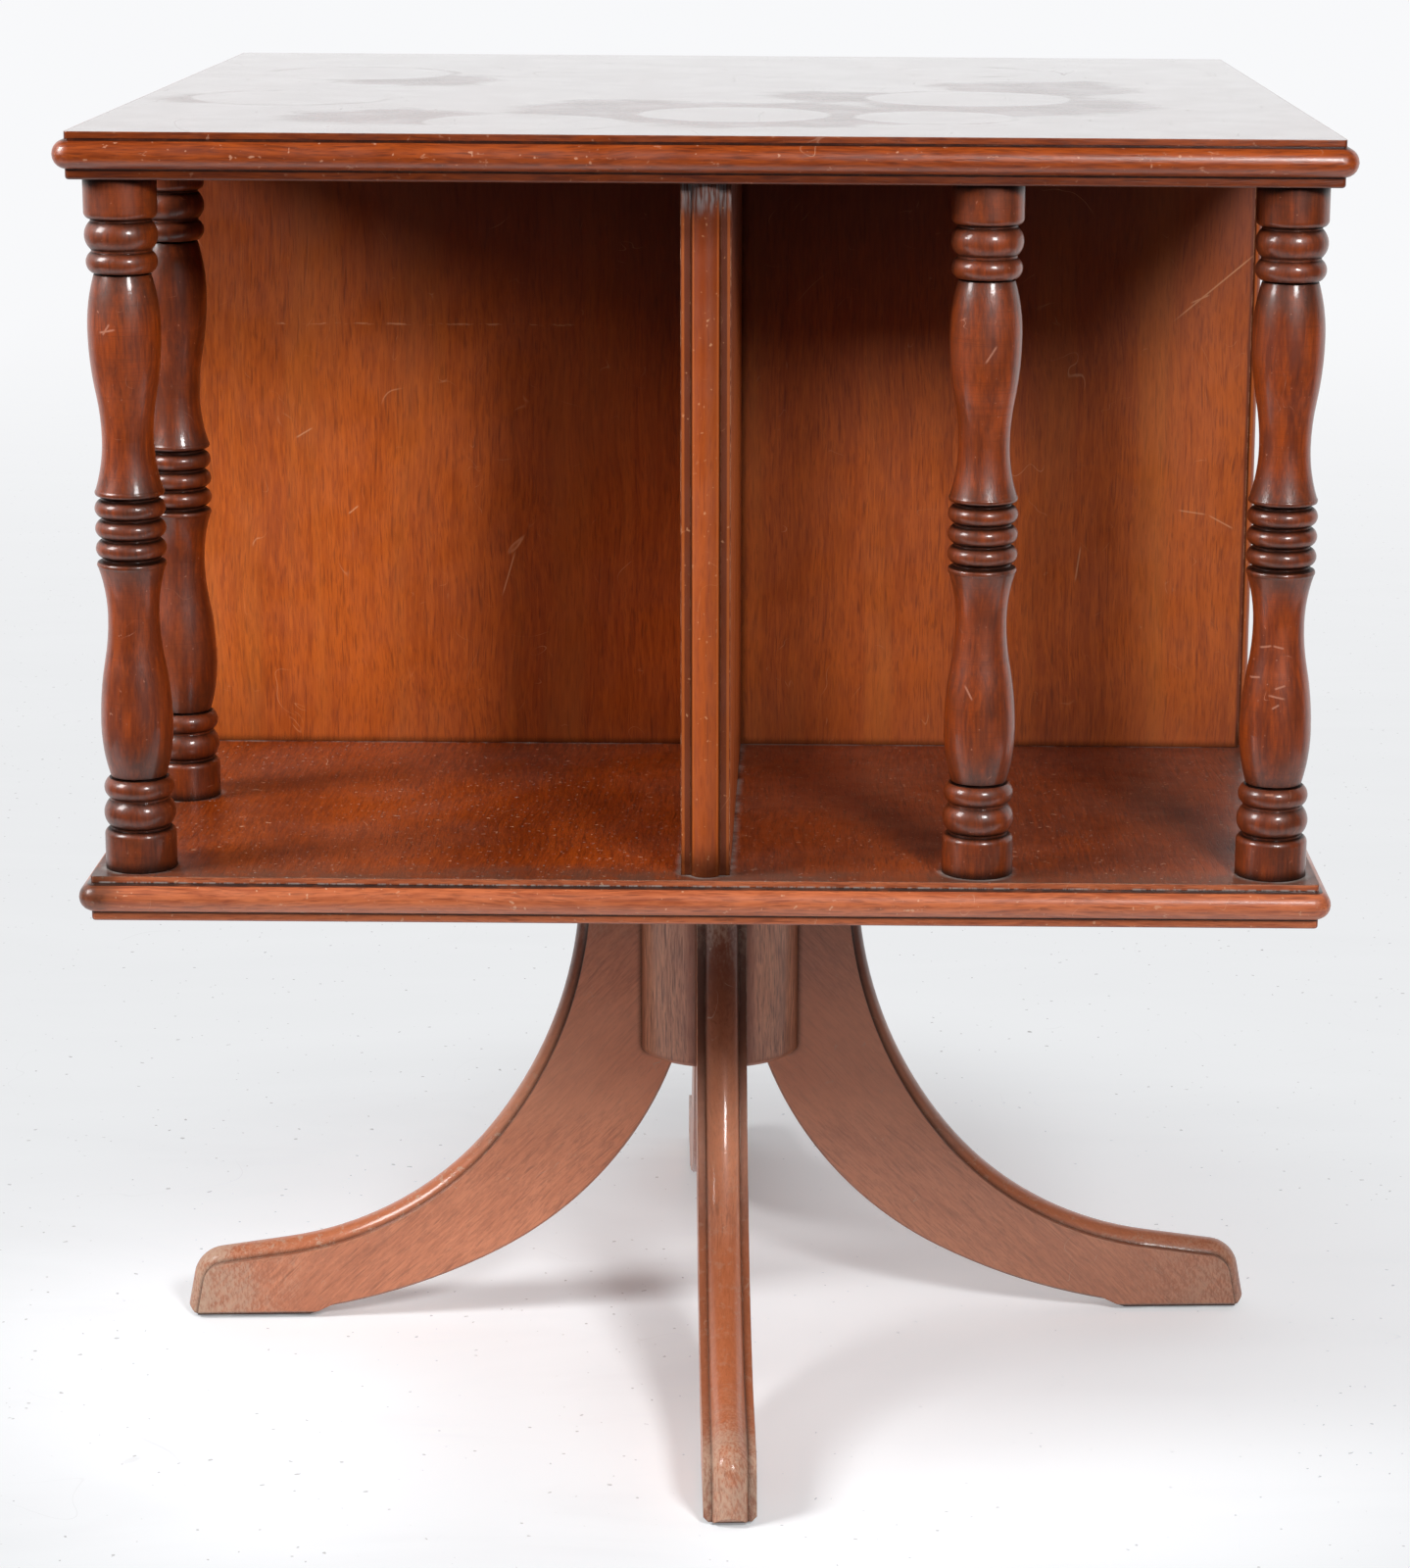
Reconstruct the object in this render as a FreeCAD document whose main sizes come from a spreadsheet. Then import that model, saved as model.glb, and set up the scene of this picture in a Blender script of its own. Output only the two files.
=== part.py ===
import FreeCAD, Part
import math
import operator
import os

import Sketcher

# Revolving atlas stand: a square case of four open bays that turns on a low base with four
# sabre legs.  Millimetres, +Z up, origin on the floor below the pivot, front towards -Y.
# Every driving size is a cell of the sheet, and every sub-part is tied to those cells.

SIZES = {
    # the two boards of the case: a fillet, a half-round roll and a fillet, one above the other
    "board_width": 597.8,
    "board_corner_round": 2.0,
    "upper_fillet_height": 3.7,
    "roll_height": 13.9,
    "roll_flat": 0.2,
    "roll_projection": 6.1,
    "roll_corner_round": 9.0,
    "lower_fillet_height": 4.8,
    "lower_edge_round": 1.5,
    "bay_height": 336.6,
    # the crossed panels between the boards
    "panel_thickness": 24.0,
    "panel_inset": 10.0,
    "reed_width": 14.2,
    "reed_projection": 5.2,
    # the turned spindles: heights from each end or from the middle, depths from the full radius
    "spindle_inset": 21.8,
    "middle_spindle_offset": 133.1,
    "spindle_radius": 17.4,
    "cap_height": 19.9,
    "cap_round_height": 3.2,
    "big_ring_height": 13.5,
    "small_ring_height": 9.8,
    "ring_gap": 1.0,
    "ring_groove_depth": 3.0,
    "small_ring_setback": 0.4,
    "neck_depth": 3.8,
    "neck_quirk_depth": 1.2,
    "bead_height": 8.8,
    "bead_gap": 1.0,
    "bead_setback": 0.4,
    "bead_groove_depth": 3.2,
    "lip_slope_height": 1.1,
    "lip_height": 2.5,
    "lip_rise": 0.5,
    "lip_setback": 0.7,
    "waist_depth": 5.05,
    "waist_share": 0.234,
    "bulge_share": 0.75,
    "turnover_share": 0.41,
    "tenon_radius": 9.5,
    "tenon_length": 15.0,
    # dowels between the panels and the boards
    "dowel_radius": 4.0,
    "dowel_depth": 14.0,
    "dowel_first": 60.0,
    "dowel_end_margin": 49.0,
    "cross_dowel_margin": 60.0,
    "cross_dowel_depth": 23.0,
    # the column and its slots for the legs
    "base_turn": 2.5,
    "column_radius": 46.2,
    "column_height": 146.2,
    "column_edge_chamfer": 2.0,
    "core_half_width": 20.0,
    "leg_dowel_radius": 5.0,
    "leg_dowel_depth": 24.0,
    "leg_dowel_rise": 23.0,
    "leg_dowel_headroom": 13.2,
    # the sabre legs: reaches from the pivot, heights above the sole, angles in degrees
    "leg_height": 303.7,
    "leg_thickness": 27.2,
    "leg_top_reach": 78.5,
    "leg_straight_length": 46.0,
    "outer_meeting_angle": 38.7,
    "outer_ankle_angle": 81.8,
    "ankle_height": 43.0,
    "foot_straight_length": 39.5,
    "toe_reach": 305.4,
    "toe_round": 18.7,
    "toe_lean": 10.7,
    "toe_bevel": 4.5,
    "sole_length": 70.4,
    "heel_length": 10.6,
    "heel_height": 5.2,
    "inner_start_reach": 24.5,
    "inner_start_angle": 18.9,
    "inner_meeting_angle": 62.3,
    "inner_heel_angle": 79.9,
    "leg_reed_width": 18.6,
    "leg_reed_projection": 6.2,
    "leg_reed_root": 2.0,
    "leg_edge_chamfer": 1.2,
    "sole_chamfer": 2.5,
    # the domed glides under each foot
    "glide_radius": 9.5,
    "glide_height": 1.7,
    "glide_flat_radius": 3.0,
    "glide_toe_margin": 22.4,
    "glide_pitch": 33.0,
    "glide_nail_radius": 1.25,
    "glide_nail_length": 12.0,
    # the turntable between base and case
    "plate_rim": 10.0,
    "plate_thickness": 3.0,
    "thrust_ring_thickness": 4.0,
    "thrust_ring_radius": 50.0,
    "thrust_ring_bore": 15.0,
    "pin_radius": 7.0,
    "pin_depth": 50.0,
    "pin_end_gap": 1.0,
    "pin_chamfer": 1.0,
    "bush_wall": 4.0,
    "bush_depth": 16.0,
    "screw_radius": 2.2,
    "screw_head_radius": 4.4,
    "screw_head_height": 2.4,
    "screw_length": 19.0,
    # clearances
    "running_clearance": 0.05,
    "turning_gap": 0.1,
    "glue_gap": 0.05,
}


class Size:
    """A number worked out from the sheet, with the expression that ties it to the cells."""

    def __init__(self, value, text):
        self.value = value
        self.text = text

    def __add__(self, other):
        return combine(self, other, operator.add, "+")

    def __sub__(self, other):
        return combine(self, other, operator.sub, "-")

    def __mul__(self, other):
        return combine(self, other, operator.mul, "*")

    def __truediv__(self, other):
        return combine(self, other, operator.truediv, "/")

    def __neg__(self):
        return Size(-self.value, "-1 * {}".format(self.text))


def plain(number):
    """A count, a share or an angle that no cell holds."""
    return Size(float(number), repr(float(number)))


def combine(first, second, work, sign):
    """Join two sizes by one arithmetic sign, in value and in expression alike."""
    second = second if isinstance(second, Size) else plain(second)
    text = "({} {} {})".format(first.text, sign, second.text)
    return Size(work(first.value, second.value), text)


def cosine(angle):
    return Size(math.cos(math.radians(angle.value)), "cos({})".format(angle.text))


def sine(angle):
    return Size(math.sin(math.radians(angle.value)), "sin({})".format(angle.text))


def bow_radius(half_chord, rise):
    """Radius of the arc that rises by this much over half its chord."""
    return (half_chord * half_chord + rise * rise) / (rise * 2)


def make_sheet():
    """Write the driving sizes to a spreadsheet and return them by name."""
    sheet = doc.addObject("Spreadsheet::Sheet", "Sizes")
    for row, (name, value) in enumerate(SIZES.items(), start=1):
        sheet.set("A{}".format(row), name)
        sheet.set("B{}".format(row), str(value))
        sheet.setAlias("B{}".format(row), name)
    doc.recompute()
    return {name: Size(float(getattr(sheet, name)), "Sizes." + name) for name in SIZES}


def keep(name, size):
    """Store a worked-out size under a name, so that the expressions that use it stay short."""
    derived.addProperty("App::PropertyFloat", name)
    setattr(derived, name, size.value)
    derived.setExpression(name, size.text)
    return Size(size.value, "Derived." + name)


doc = FreeCAD.newDocument("atlas_stand")
S = make_sheet()
derived = doc.addObject("App::VarSet", "Derived")
ZERO = plain(0)

# Worked-out sizes that several sub-parts share
board_thickness = keep(
    "board_thickness", S["lower_fillet_height"] + S["roll_height"] + S["upper_fillet_height"])
board_half = keep("board_half", S["board_width"] / 2)
spindle_line = keep("spindle_line", board_half - S["spindle_inset"])
panel_reach = keep("panel_reach", board_half - S["panel_inset"])
panel_half = keep("panel_half", S["panel_thickness"] / 2)
turntable_height = keep("turntable_height", S["plate_thickness"] * 2 + S["thrust_ring_thickness"])
column_foot = keep("column_foot", S["leg_height"] - S["column_height"])
leg_top = keep("leg_top", S["glide_height"] + S["leg_height"])
case_bottom = keep("case_bottom", leg_top + turntable_height)
bay_bottom = keep("bay_bottom", case_bottom + board_thickness)
bush_radius = keep("bush_radius", S["pin_radius"] + S["running_clearance"] + S["bush_wall"])
screw_circle = keep(
    "screw_circle", (S["column_radius"] + S["leg_top_reach"] - S["leg_reed_projection"]) / 2)
reed_radius = keep("reed_radius", bow_radius(S["reed_width"] / 2, S["reed_projection"]))


# ---------------------------------------------------------------- sketches and features

def new_body(name, several=False):
    """Start a sub-part: one solid, or several like a set of dowels."""
    body = doc.addObject("PartDesign::Body", name)
    body.Label = name
    body.AllowCompound = several
    return body


def origin_item(body, role):
    """The body's own origin plane or axis with this role."""
    return next(item for item in body.Origin.OriginFeatures if item.Role == role)


def new_sketch(body, name, plane, lift=ZERO, aside=ZERO):
    """An empty sketch on an origin plane, lifted along its normal and moved aside within it."""
    sketch = body.newObject("Sketcher::SketchObject", name)
    sketch.AttachmentSupport = [(origin_item(body, plane), "")]
    sketch.MapMode = "FlatFace"
    spot = FreeCAD.Vector(aside.value, 0, lift.value)
    sketch.AttachmentOffset = FreeCAD.Placement(spot, FreeCAD.Rotation())
    sketch.setExpression("AttachmentOffset.Base.x", aside.text)
    sketch.setExpression("AttachmentOffset.Base.z", lift.text)
    return sketch


def tie(sketch, kind, references, size):
    """Add a dimension to a sketch and tie it to the sheet."""
    index = sketch.addConstraint(Sketcher.Constraint(kind, *references, size.value))
    sketch.setExpression("Constraints[{}]".format(index), size.text)


def place_point(sketch, geometry, position, point):
    """Fix a point of a sketch at (across, up), on an axis where a coordinate is zero."""
    for kind, size, axis in (("DistanceX", point[0], -2), ("DistanceY", point[1], -1)):
        if size is ZERO:
            on_axis = Sketcher.Constraint("PointOnObject", geometry, position, axis)
            sketch.addConstraint(on_axis)
        else:
            tie(sketch, kind, (geometry, position), size)


def arc_between(start, end, radius, side):
    """Arc of less than half a turn; side is +1 with its centre left of the way, -1 right."""
    way = end - start
    half = way.Length / 2
    inward = FreeCAD.Vector(-way.y, way.x, 0).normalize() * side
    centre = start + way / 2 + inward * math.sqrt(max(radius * radius - half * half, 0))
    first, last = (start, end) if side > 0 else (end, start)
    angles = [math.atan2(point.y - centre.y, point.x - centre.x) for point in (first, last)]
    return Part.ArcOfCircle(Part.Circle(centre, FreeCAD.Vector(0, 0, 1), radius), *angles)


def draw_chain(sketch, corners, arcs=None, closed=True):
    """Lines through the corners, with arcs = {index of first corner: (radius, side)}."""
    arcs = arcs or {}
    points = [FreeCAD.Vector(across.value, up.value, 0) for across, up in corners]
    count = len(corners) if closed else len(corners) - 1
    ends = []
    for index in range(count):
        start = points[index]
        end = points[(index + 1) % len(points)]
        if index in arcs:
            radius, side = arcs[index]
            edge = sketch.addGeometry(arc_between(start, end, radius.value, side), False)
            ends.append((edge, 1, 2) if side > 0 else (edge, 2, 1))
        else:
            edge = sketch.addGeometry(Part.LineSegment(start, end), False)
            ends.append((edge, 1, 2))
    for index, (edge, first, last) in enumerate(ends):
        if index + 1 < count or closed:
            following, follower, _ = ends[(index + 1) % count]
            sketch.addConstraint(Sketcher.Constraint("Coincident", edge, last, following, follower))
        place_point(sketch, edge, first, corners[index])
        if index in arcs:
            tie(sketch, "Radius", (edge,), arcs[index][0])
    if not closed:
        edge, _, last = ends[-1]
        place_point(sketch, edge, last, corners[-1])


def draw_circle(sketch, centre, radius):
    """A circle tied to the sheet."""
    middle = FreeCAD.Vector(centre[0].value, centre[1].value, 0)
    circle = Part.Circle(middle, FreeCAD.Vector(0, 0, 1), radius.value)
    index = sketch.addGeometry(circle, False)
    place_point(sketch, index, 3, centre)
    tie(sketch, "Radius", (index,), radius)


def quarter_turns(across, along):
    """The four places that a point takes in whole quarter turns, counter-clockwise."""
    places = []
    for _ in range(4):
        places.append((across, along))
        across, along = -along, across
    return places


def draw_square(sketch, half, corner):
    """A square about the origin with rounded corners."""
    starts = quarter_turns(half, half - corner)
    finishes = quarter_turns(half - corner, half)
    corners = [point for pair in zip(starts, finishes) for point in pair]
    draw_chain(sketch, corners, {index: (corner, 1) for index in range(0, len(corners), 2)})


def pad(body, name, sketch, length, symmetric=False):
    """Pad a sketch along its normal, or half to each side."""
    feature = body.newObject("PartDesign::Pad", name)
    feature.Profile = sketch
    feature.SideType = "Symmetric" if symmetric else "One side"
    feature.setExpression("Length", length.text)
    return feature


def pocket(body, name, sketch, depth, forward=False, symmetric=False):
    """Cut a sketch into the body, against its normal unless forward."""
    feature = body.newObject("PartDesign::Pocket", name)
    feature.Profile = sketch
    feature.SideType = "Symmetric" if symmetric else "One side"
    feature.Reversed = forward
    feature.setExpression("Length", depth.text)
    return feature


def revolve(body, kind, name, sketch):
    """Turn a sketch about its own vertical axis, as a Revolution or a Groove."""
    feature = body.newObject("PartDesign::" + kind, name)
    feature.Profile = sketch
    feature.ReferenceAxis = (sketch, ["V_Axis"])
    feature.Angle = 360
    return feature


def repeat_in_quarters(body, name, feature):
    """Repeat a feature four times about the body's vertical axis."""
    pattern = body.newObject("PartDesign::PolarPattern", name)
    pattern.Originals = [feature]
    pattern.Axis = (origin_item(body, "Z_Axis"), [""])
    pattern.Angle = 360
    pattern.Occurrences = 4
    body.Tip = pattern


def dress(body, kind, name, size, wanted):
    """Fillet or chamfer the edges of the body so far for which wanted(edge) is true."""
    doc.recompute()
    base = body.Tip
    edges = ["Edge{}".format(index + 1) for index, edge in enumerate(base.Shape.Edges) if wanted(edge)]
    feature = body.newObject("PartDesign::" + kind, name)
    feature.Base = (base, edges)
    feature.setExpression("Radius" if kind == "Fillet" else "Size", size.text)
    body.Tip = feature


def lies_flat_at(height):
    """A test for edges that lie wholly at one height of the body's own frame."""
    return lambda edge: edge.BoundBox.ZLength < 1e-6 and abs(edge.BoundBox.ZMin - height) < 1e-6


def place(body, across=ZERO, along=ZERO, up=ZERO, turn=ZERO):
    """Put a sub-part at its place, turned about the vertical."""
    turning = FreeCAD.Rotation(FreeCAD.Vector(0, 0, 1), turn.value)
    spot = FreeCAD.Vector(across.value, along.value, up.value)
    body.Placement = FreeCAD.Placement(spot, turning)
    for axis, size in (("x", across), ("y", along), ("z", up)):
        body.setExpression("Placement.Base." + axis, size.text)
    if turn is not ZERO:
        body.setExpression("Placement.Rotation.Angle", turn.text)
    return body


def turned(name, corners, arcs=None):
    """A sub-part turned about Z from an outline drawn as (radius, height)."""
    body = new_body(name)
    sketch = new_sketch(body, name + "_profile", "XZ_Plane")
    draw_chain(sketch, corners, arcs)
    revolve(body, "Revolution", name + "_turning", sketch)
    return body


# ---------------------------------------------------------------- boards

def panel_dowel_reaches():
    """Distances from the centre at which the panels are dowelled to the boards."""
    first = S["dowel_first"]
    last = panel_reach - S["dowel_end_margin"]
    return [first, (first + last) / 2, last]


def bore_board(body, name, inner_face, upward):
    """Sockets for the spindles' tenons and the panels' dowels, in the face towards the bays."""
    sockets = new_sketch(body, name + "_socket_outline", "XY_Plane", inner_face)
    socket_radius = S["tenon_radius"] + S["glue_gap"]
    draw_circle(sockets, (spindle_line, spindle_line), socket_radius)
    draw_circle(sockets, (S["middle_spindle_offset"], -spindle_line), socket_radius)
    socket = pocket(body, name + "_socket", sockets, S["tenon_length"], forward=upward)
    repeat_in_quarters(body, name + "_sockets", socket)
    holes = new_sketch(body, name + "_dowel_outline", "XY_Plane", inner_face)
    for reach in panel_dowel_reaches():
        draw_circle(holes, (reach, ZERO), S["dowel_radius"])
    hole = pocket(body, name + "_dowel_hole", holes, S["dowel_depth"], forward=upward)
    repeat_in_quarters(body, name + "_dowel_holes", hole)


def make_board(name, height):
    """A square board: a half-round roll between two fillets, its lower edge eased."""
    body = new_body(name)
    roll = new_sketch(body, name + "_roll_outline", "XY_Plane", S["lower_fillet_height"])
    draw_square(roll, board_half + S["roll_projection"], S["roll_corner_round"])
    pad(body, name + "_roll", roll, S["roll_height"])
    dress(body, "Fillet", name + "_roll_round", (S["roll_height"] - S["roll_flat"]) / 2,
          lambda edge: edge.BoundBox.ZLength < 1e-6)
    core = new_sketch(body, name + "_core_outline", "XY_Plane")
    draw_square(core, board_half, S["board_corner_round"])
    pad(body, name + "_core", core, board_thickness)
    dress(body, "Fillet", name + "_lower_round", S["lower_edge_round"], lies_flat_at(0))
    return place(body, up=height)


def make_top_board():
    body = make_board("top_board", bay_bottom + S["bay_height"])
    bore_board(body, "top_board", ZERO, upward=True)
    return body


def make_bottom_board():
    """The lower board, bored from below too, for the bush and the screws of the turntable."""
    body = make_board("bottom_board", case_bottom)
    bore_board(body, "bottom_board", board_thickness, upward=False)
    seat = new_sketch(body, "bush_seat_outline", "XY_Plane")
    draw_circle(seat, (ZERO, ZERO), bush_radius)
    pocket(body, "bush_seat", seat, S["bush_depth"], forward=True)
    diagonal = screw_circle * cosine(plain(45))
    holes = new_sketch(body, "turntable_screw_outline", "XY_Plane")
    draw_circle(holes, (diagonal, diagonal), S["screw_radius"])
    hole = pocket(body, "turntable_screw_hole", holes, S["screw_length"] - S["plate_thickness"],
                  forward=True)
    repeat_in_quarters(body, "turntable_screw_holes", hole)
    return body


# ---------------------------------------------------------------- panels

def bore_panel(body, name, reaches):
    """Dowel holes in the lower and upper edges of a panel."""
    for end, height, upward in (("lower", ZERO, True), ("upper", S["bay_height"], False)):
        holes = new_sketch(body, "{}_{}_dowel_outline".format(name, end), "XY_Plane", height)
        for reach in reaches:
            draw_circle(holes, (reach, ZERO), S["dowel_radius"])
        pocket(body, "{}_{}_dowel_holes".format(name, end), holes, S["dowel_depth"], forward=upward)


def draw_cross_dowels(sketch):
    """Round outlines of the dowels that join the three panels, at three heights."""
    lowest = S["cross_dowel_margin"]
    for height in (lowest, S["bay_height"] / 2, S["bay_height"] - lowest):
        draw_circle(sketch, (ZERO, height), S["dowel_radius"])


def reeded_end(side):
    """Corners of a panel's end in plan, across its three faces: step, reed and step."""
    reach = panel_reach if side > 0 else -panel_reach
    reed_half = S["reed_width"] / 2
    widths = (-panel_half, -reed_half, reed_half, panel_half)
    return [(reach, width) for width in (widths if side > 0 else reversed(widths))]


def make_centre_panel():
    """The full-width panel, reeded at both ends."""
    body = new_body("centre_panel")
    outline = new_sketch(body, "centre_panel_outline", "XY_Plane")
    draw_chain(outline, reeded_end(1) + reeded_end(-1), {1: (reed_radius, 1), 5: (reed_radius, 1)})
    pad(body, "centre_panel_slab", outline, S["bay_height"])
    reaches = panel_dowel_reaches()
    bore_panel(body, "centre_panel", reaches + [-reach for reach in reaches])
    cross = new_sketch(body, "centre_panel_cross_outline", "XZ_Plane")
    draw_cross_dowels(cross)
    pocket(body, "centre_panel_cross_holes", cross, S["panel_thickness"] * 2, symmetric=True)
    return place(body, up=bay_bottom)


def make_half_divider(name, turn):
    """A half-width panel that butts on the centre panel, reeded at its outer end."""
    body = new_body(name)
    outline = new_sketch(body, name + "_outline", "XY_Plane")
    butt = [(panel_half, panel_half), (panel_half, -panel_half)]
    draw_chain(outline, reeded_end(1) + butt, {1: (reed_radius, 1)})
    pad(body, name + "_slab", outline, S["bay_height"])
    bore_panel(body, name, panel_dowel_reaches())
    cross = new_sketch(body, name + "_cross_outline", "YZ_Plane", panel_half)
    draw_cross_dowels(cross)
    pocket(body, name + "_cross_holes", cross, S["cross_dowel_depth"], forward=True)
    return place(body, up=bay_bottom, turn=plain(turn))


def make_board_dowels(name, joint_height):
    """Dowels half in a board and half in the panels."""
    body = new_body(name, several=True)
    outline = new_sketch(body, name + "_outline", "XY_Plane")
    for reach in panel_dowel_reaches():
        draw_circle(outline, (reach, ZERO), S["dowel_radius"])
    dowels = pad(body, name + "_arm", outline, S["dowel_depth"] * 2, symmetric=True)
    repeat_in_quarters(body, name + "_arms", dowels)
    return place(body, up=joint_height)


def make_cross_dowels():
    """Dowels that run through the centre panel into both half dividers."""
    body = new_body("cross_dowels", several=True)
    outline = new_sketch(body, "cross_dowel_outline", "XZ_Plane")
    draw_cross_dowels(outline)
    pad(body, "cross_dowel_rods", outline, S["panel_thickness"] + S["cross_dowel_depth"] * 2,
        symmetric=True)
    return place(body, up=bay_bottom)


# ---------------------------------------------------------------- spindles

def spindle_outline():
    """Upper half of the spindle as (radius, height above its middle), and its arcs."""
    full = S["spindle_radius"]
    bead_radius = full - S["bead_setback"]
    bead_groove = bead_radius - S["bead_groove_depth"]
    lip = full - S["lip_setback"] - S["lip_rise"]
    waist_radius = full - S["waist_depth"]
    neck_radius = full - S["neck_depth"]
    neck_quirk = neck_radius - S["neck_quirk_depth"]
    ring_groove = full - S["ring_groove_depth"]
    half = S["bay_height"] / 2
    bead_half = S["bead_height"] / 2
    outer_bead = bead_half + S["bead_gap"]
    outer_bead_end = outer_bead + S["bead_height"]
    lip_foot = outer_bead_end + S["bead_gap"]
    lip_start = lip_foot + S["lip_slope_height"]
    lip_end = lip_start + S["lip_height"]
    cap_start = half - S["cap_height"]
    big_ring_end = cap_start - S["ring_gap"]
    big_ring = big_ring_end - S["big_ring_height"]
    small_ring_end = big_ring - S["ring_gap"]
    small_ring = small_ring_end - S["small_ring_height"]
    neck = small_ring - S["ring_gap"]
    waist = lip_end + (neck - lip_end) * S["waist_share"]
    bulge = lip_end + (neck - lip_end) * S["bulge_share"]
    # from waist to bulge the outline turns over from hollow to round without a kink
    share = S["turnover_share"]
    turnover = (waist_radius + S["waist_depth"] * share, waist + (bulge - waist) * share)
    turnover_radius = bow_radius(bulge - waist, S["waist_depth"])
    small_ring_rise = S["ring_groove_depth"] - S["small_ring_setback"]
    bead = (bow_radius(bead_half, S["bead_groove_depth"]), 1)
    corners = [
        (ZERO, ZERO),
        (bead_radius, ZERO),
        (bead_groove, bead_half),
        (bead_groove, outer_bead),
        (bead_groove, outer_bead_end),
        (bead_groove, lip_foot),
        (lip, lip_start),
        (lip, lip_end),
        (waist_radius, waist),
        turnover,
        (full, bulge),
        (neck_radius, neck),
        (neck_quirk, neck),
        (neck_quirk, small_ring),
        (ring_groove, small_ring),
        (ring_groove, small_ring_end),
        (ring_groove, big_ring),
        (ring_groove, big_ring_end),
        (ring_groove, cap_start),
        (full, cap_start + S["cap_round_height"]),
        (full, half),
        (S["tenon_radius"], half),
        (S["tenon_radius"], half + S["tenon_length"]),
        (ZERO, half + S["tenon_length"]),
    ]
    arcs = {
        1: bead,
        3: bead,
        6: (bow_radius(S["lip_height"] / 2, S["lip_rise"]), 1),
        7: (bow_radius(waist - lip_end, lip - waist_radius), -1),
        8: (turnover_radius * share, -1),
        9: (turnover_radius - turnover_radius * share, 1),
        10: (bow_radius(neck - bulge, S["neck_depth"]), 1),
        14: (bow_radius(S["small_ring_height"] / 2, small_ring_rise), 1),
        16: (bow_radius(S["big_ring_height"] / 2, S["ring_groove_depth"]), 1),
        18: (bow_radius(S["cap_round_height"], S["ring_groove_depth"]), 1),
    }
    return corners, arcs


def keep_outline(prefix, corners, arcs):
    """Store every corner and radius of an outline that several sub-parts share."""
    kept_corners = []
    for index, point in enumerate(corners):
        names = ("{}_across_{}".format(prefix, index), "{}_up_{}".format(prefix, index))
        kept = [size if size is ZERO else keep(name, size) for name, size in zip(names, point)]
        kept_corners.append(tuple(kept))
    kept_arcs = {index: (keep("{}_radius_{}".format(prefix, index), radius), side)
                 for index, (radius, side) in arcs.items()}
    return kept_corners, kept_arcs


def make_spindle(name, outline, across, along):
    """A turned spindle with a tenon at each end, alike above and below its middle."""
    body = turned(name, *outline)
    mirror = body.newObject("PartDesign::Mirrored", name + "_lower_half")
    mirror.Originals = [body.Tip]
    mirror.MirrorPlane = (origin_item(body, "XY_Plane"), [""])
    body.Tip = mirror
    return place(body, across, along, bay_bottom + S["bay_height"] / 2)


def make_spindles():
    """A spindle at each corner, and one beside the middle of each side, a quarter turn apart."""
    outline = keep_outline("spindle", *spindle_outline())
    corner_names = ("front_right", "rear_right", "rear_left", "front_left")
    side_names = ("front", "right", "rear", "left")
    corner_spots = quarter_turns(spindle_line, -spindle_line)
    side_spots = quarter_turns(S["middle_spindle_offset"], -spindle_line)
    spindles = []
    for name, spot in zip(corner_names, corner_spots):
        spindles.append(make_spindle("corner_spindle_" + name, outline, *spot))
    for name, spot in zip(side_names, side_spots):
        spindles.append(make_spindle("middle_spindle_" + name, outline, *spot))
    return spindles


# ---------------------------------------------------------------- turntable

def screw_outline(face, step, spare):
    """Half a countersunk screw from its head's face, downwards for step -1, grown by a spare."""
    throat = face + S["screw_head_height"] * step
    point = face + S["screw_length"] * step
    shank = S["screw_radius"] + spare
    return [(ZERO, face), (S["screw_head_radius"] + spare, face), (shank, throat), (shank, point),
            (ZERO, point)]


def make_plate(name, bore, underside, turn, heads_up):
    """A round bearing plate and its four countersunk screws."""
    face = S["plate_thickness"] if heads_up else ZERO
    step = -1 if heads_up else 1
    plate = new_body(name)
    outline = new_sketch(plate, name + "_outline", "XY_Plane")
    draw_circle(outline, (ZERO, ZERO), screw_circle + S["plate_rim"])
    draw_circle(outline, (ZERO, ZERO), bore)
    pad(plate, name + "_disc", outline, S["plate_thickness"])
    cutter = new_sketch(plate, name + "_countersink_outline", "XZ_Plane", aside=screw_circle)
    draw_chain(cutter, screw_outline(face, step, S["glue_gap"]))
    countersink = revolve(plate, "Groove", name + "_countersink", cutter)
    repeat_in_quarters(plate, name + "_countersinks", countersink)

    screws = new_body(name + "_screws", several=True)
    half = new_sketch(screws, name + "_screw_outline", "XZ_Plane", aside=screw_circle)
    draw_chain(half, screw_outline(face, step, ZERO))
    screw = revolve(screws, "Revolution", name + "_screw", half)
    repeat_in_quarters(screws, name + "_screw_set", screw)
    return [place(plate, up=underside, turn=turn), place(screws, up=underside, turn=turn)]


def make_thrust_ring():
    """The ring that carries the case, between the two plates."""
    inner = S["thrust_ring_bore"]
    outer = S["thrust_ring_radius"]
    height = S["thrust_ring_thickness"] - S["turning_gap"]
    ring = turned("thrust_ring", [(inner, ZERO), (outer, ZERO), (outer, height), (inner, height)])
    return place(ring, up=leg_top + S["plate_thickness"])


def make_pivot_pin():
    """The pin, fast in the column and running in the bush."""
    radius = S["pin_radius"]
    chamfer = S["pin_chamfer"]
    length = S["pin_depth"] + turntable_height + S["bush_depth"] - S["pin_end_gap"]
    pin = turned("pivot_pin", [
        (ZERO, ZERO), (radius - chamfer, ZERO), (radius, chamfer), (radius, length - chamfer),
        (radius - chamfer, length), (ZERO, length),
    ])
    return place(pin, up=leg_top - S["pin_depth"])


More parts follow.
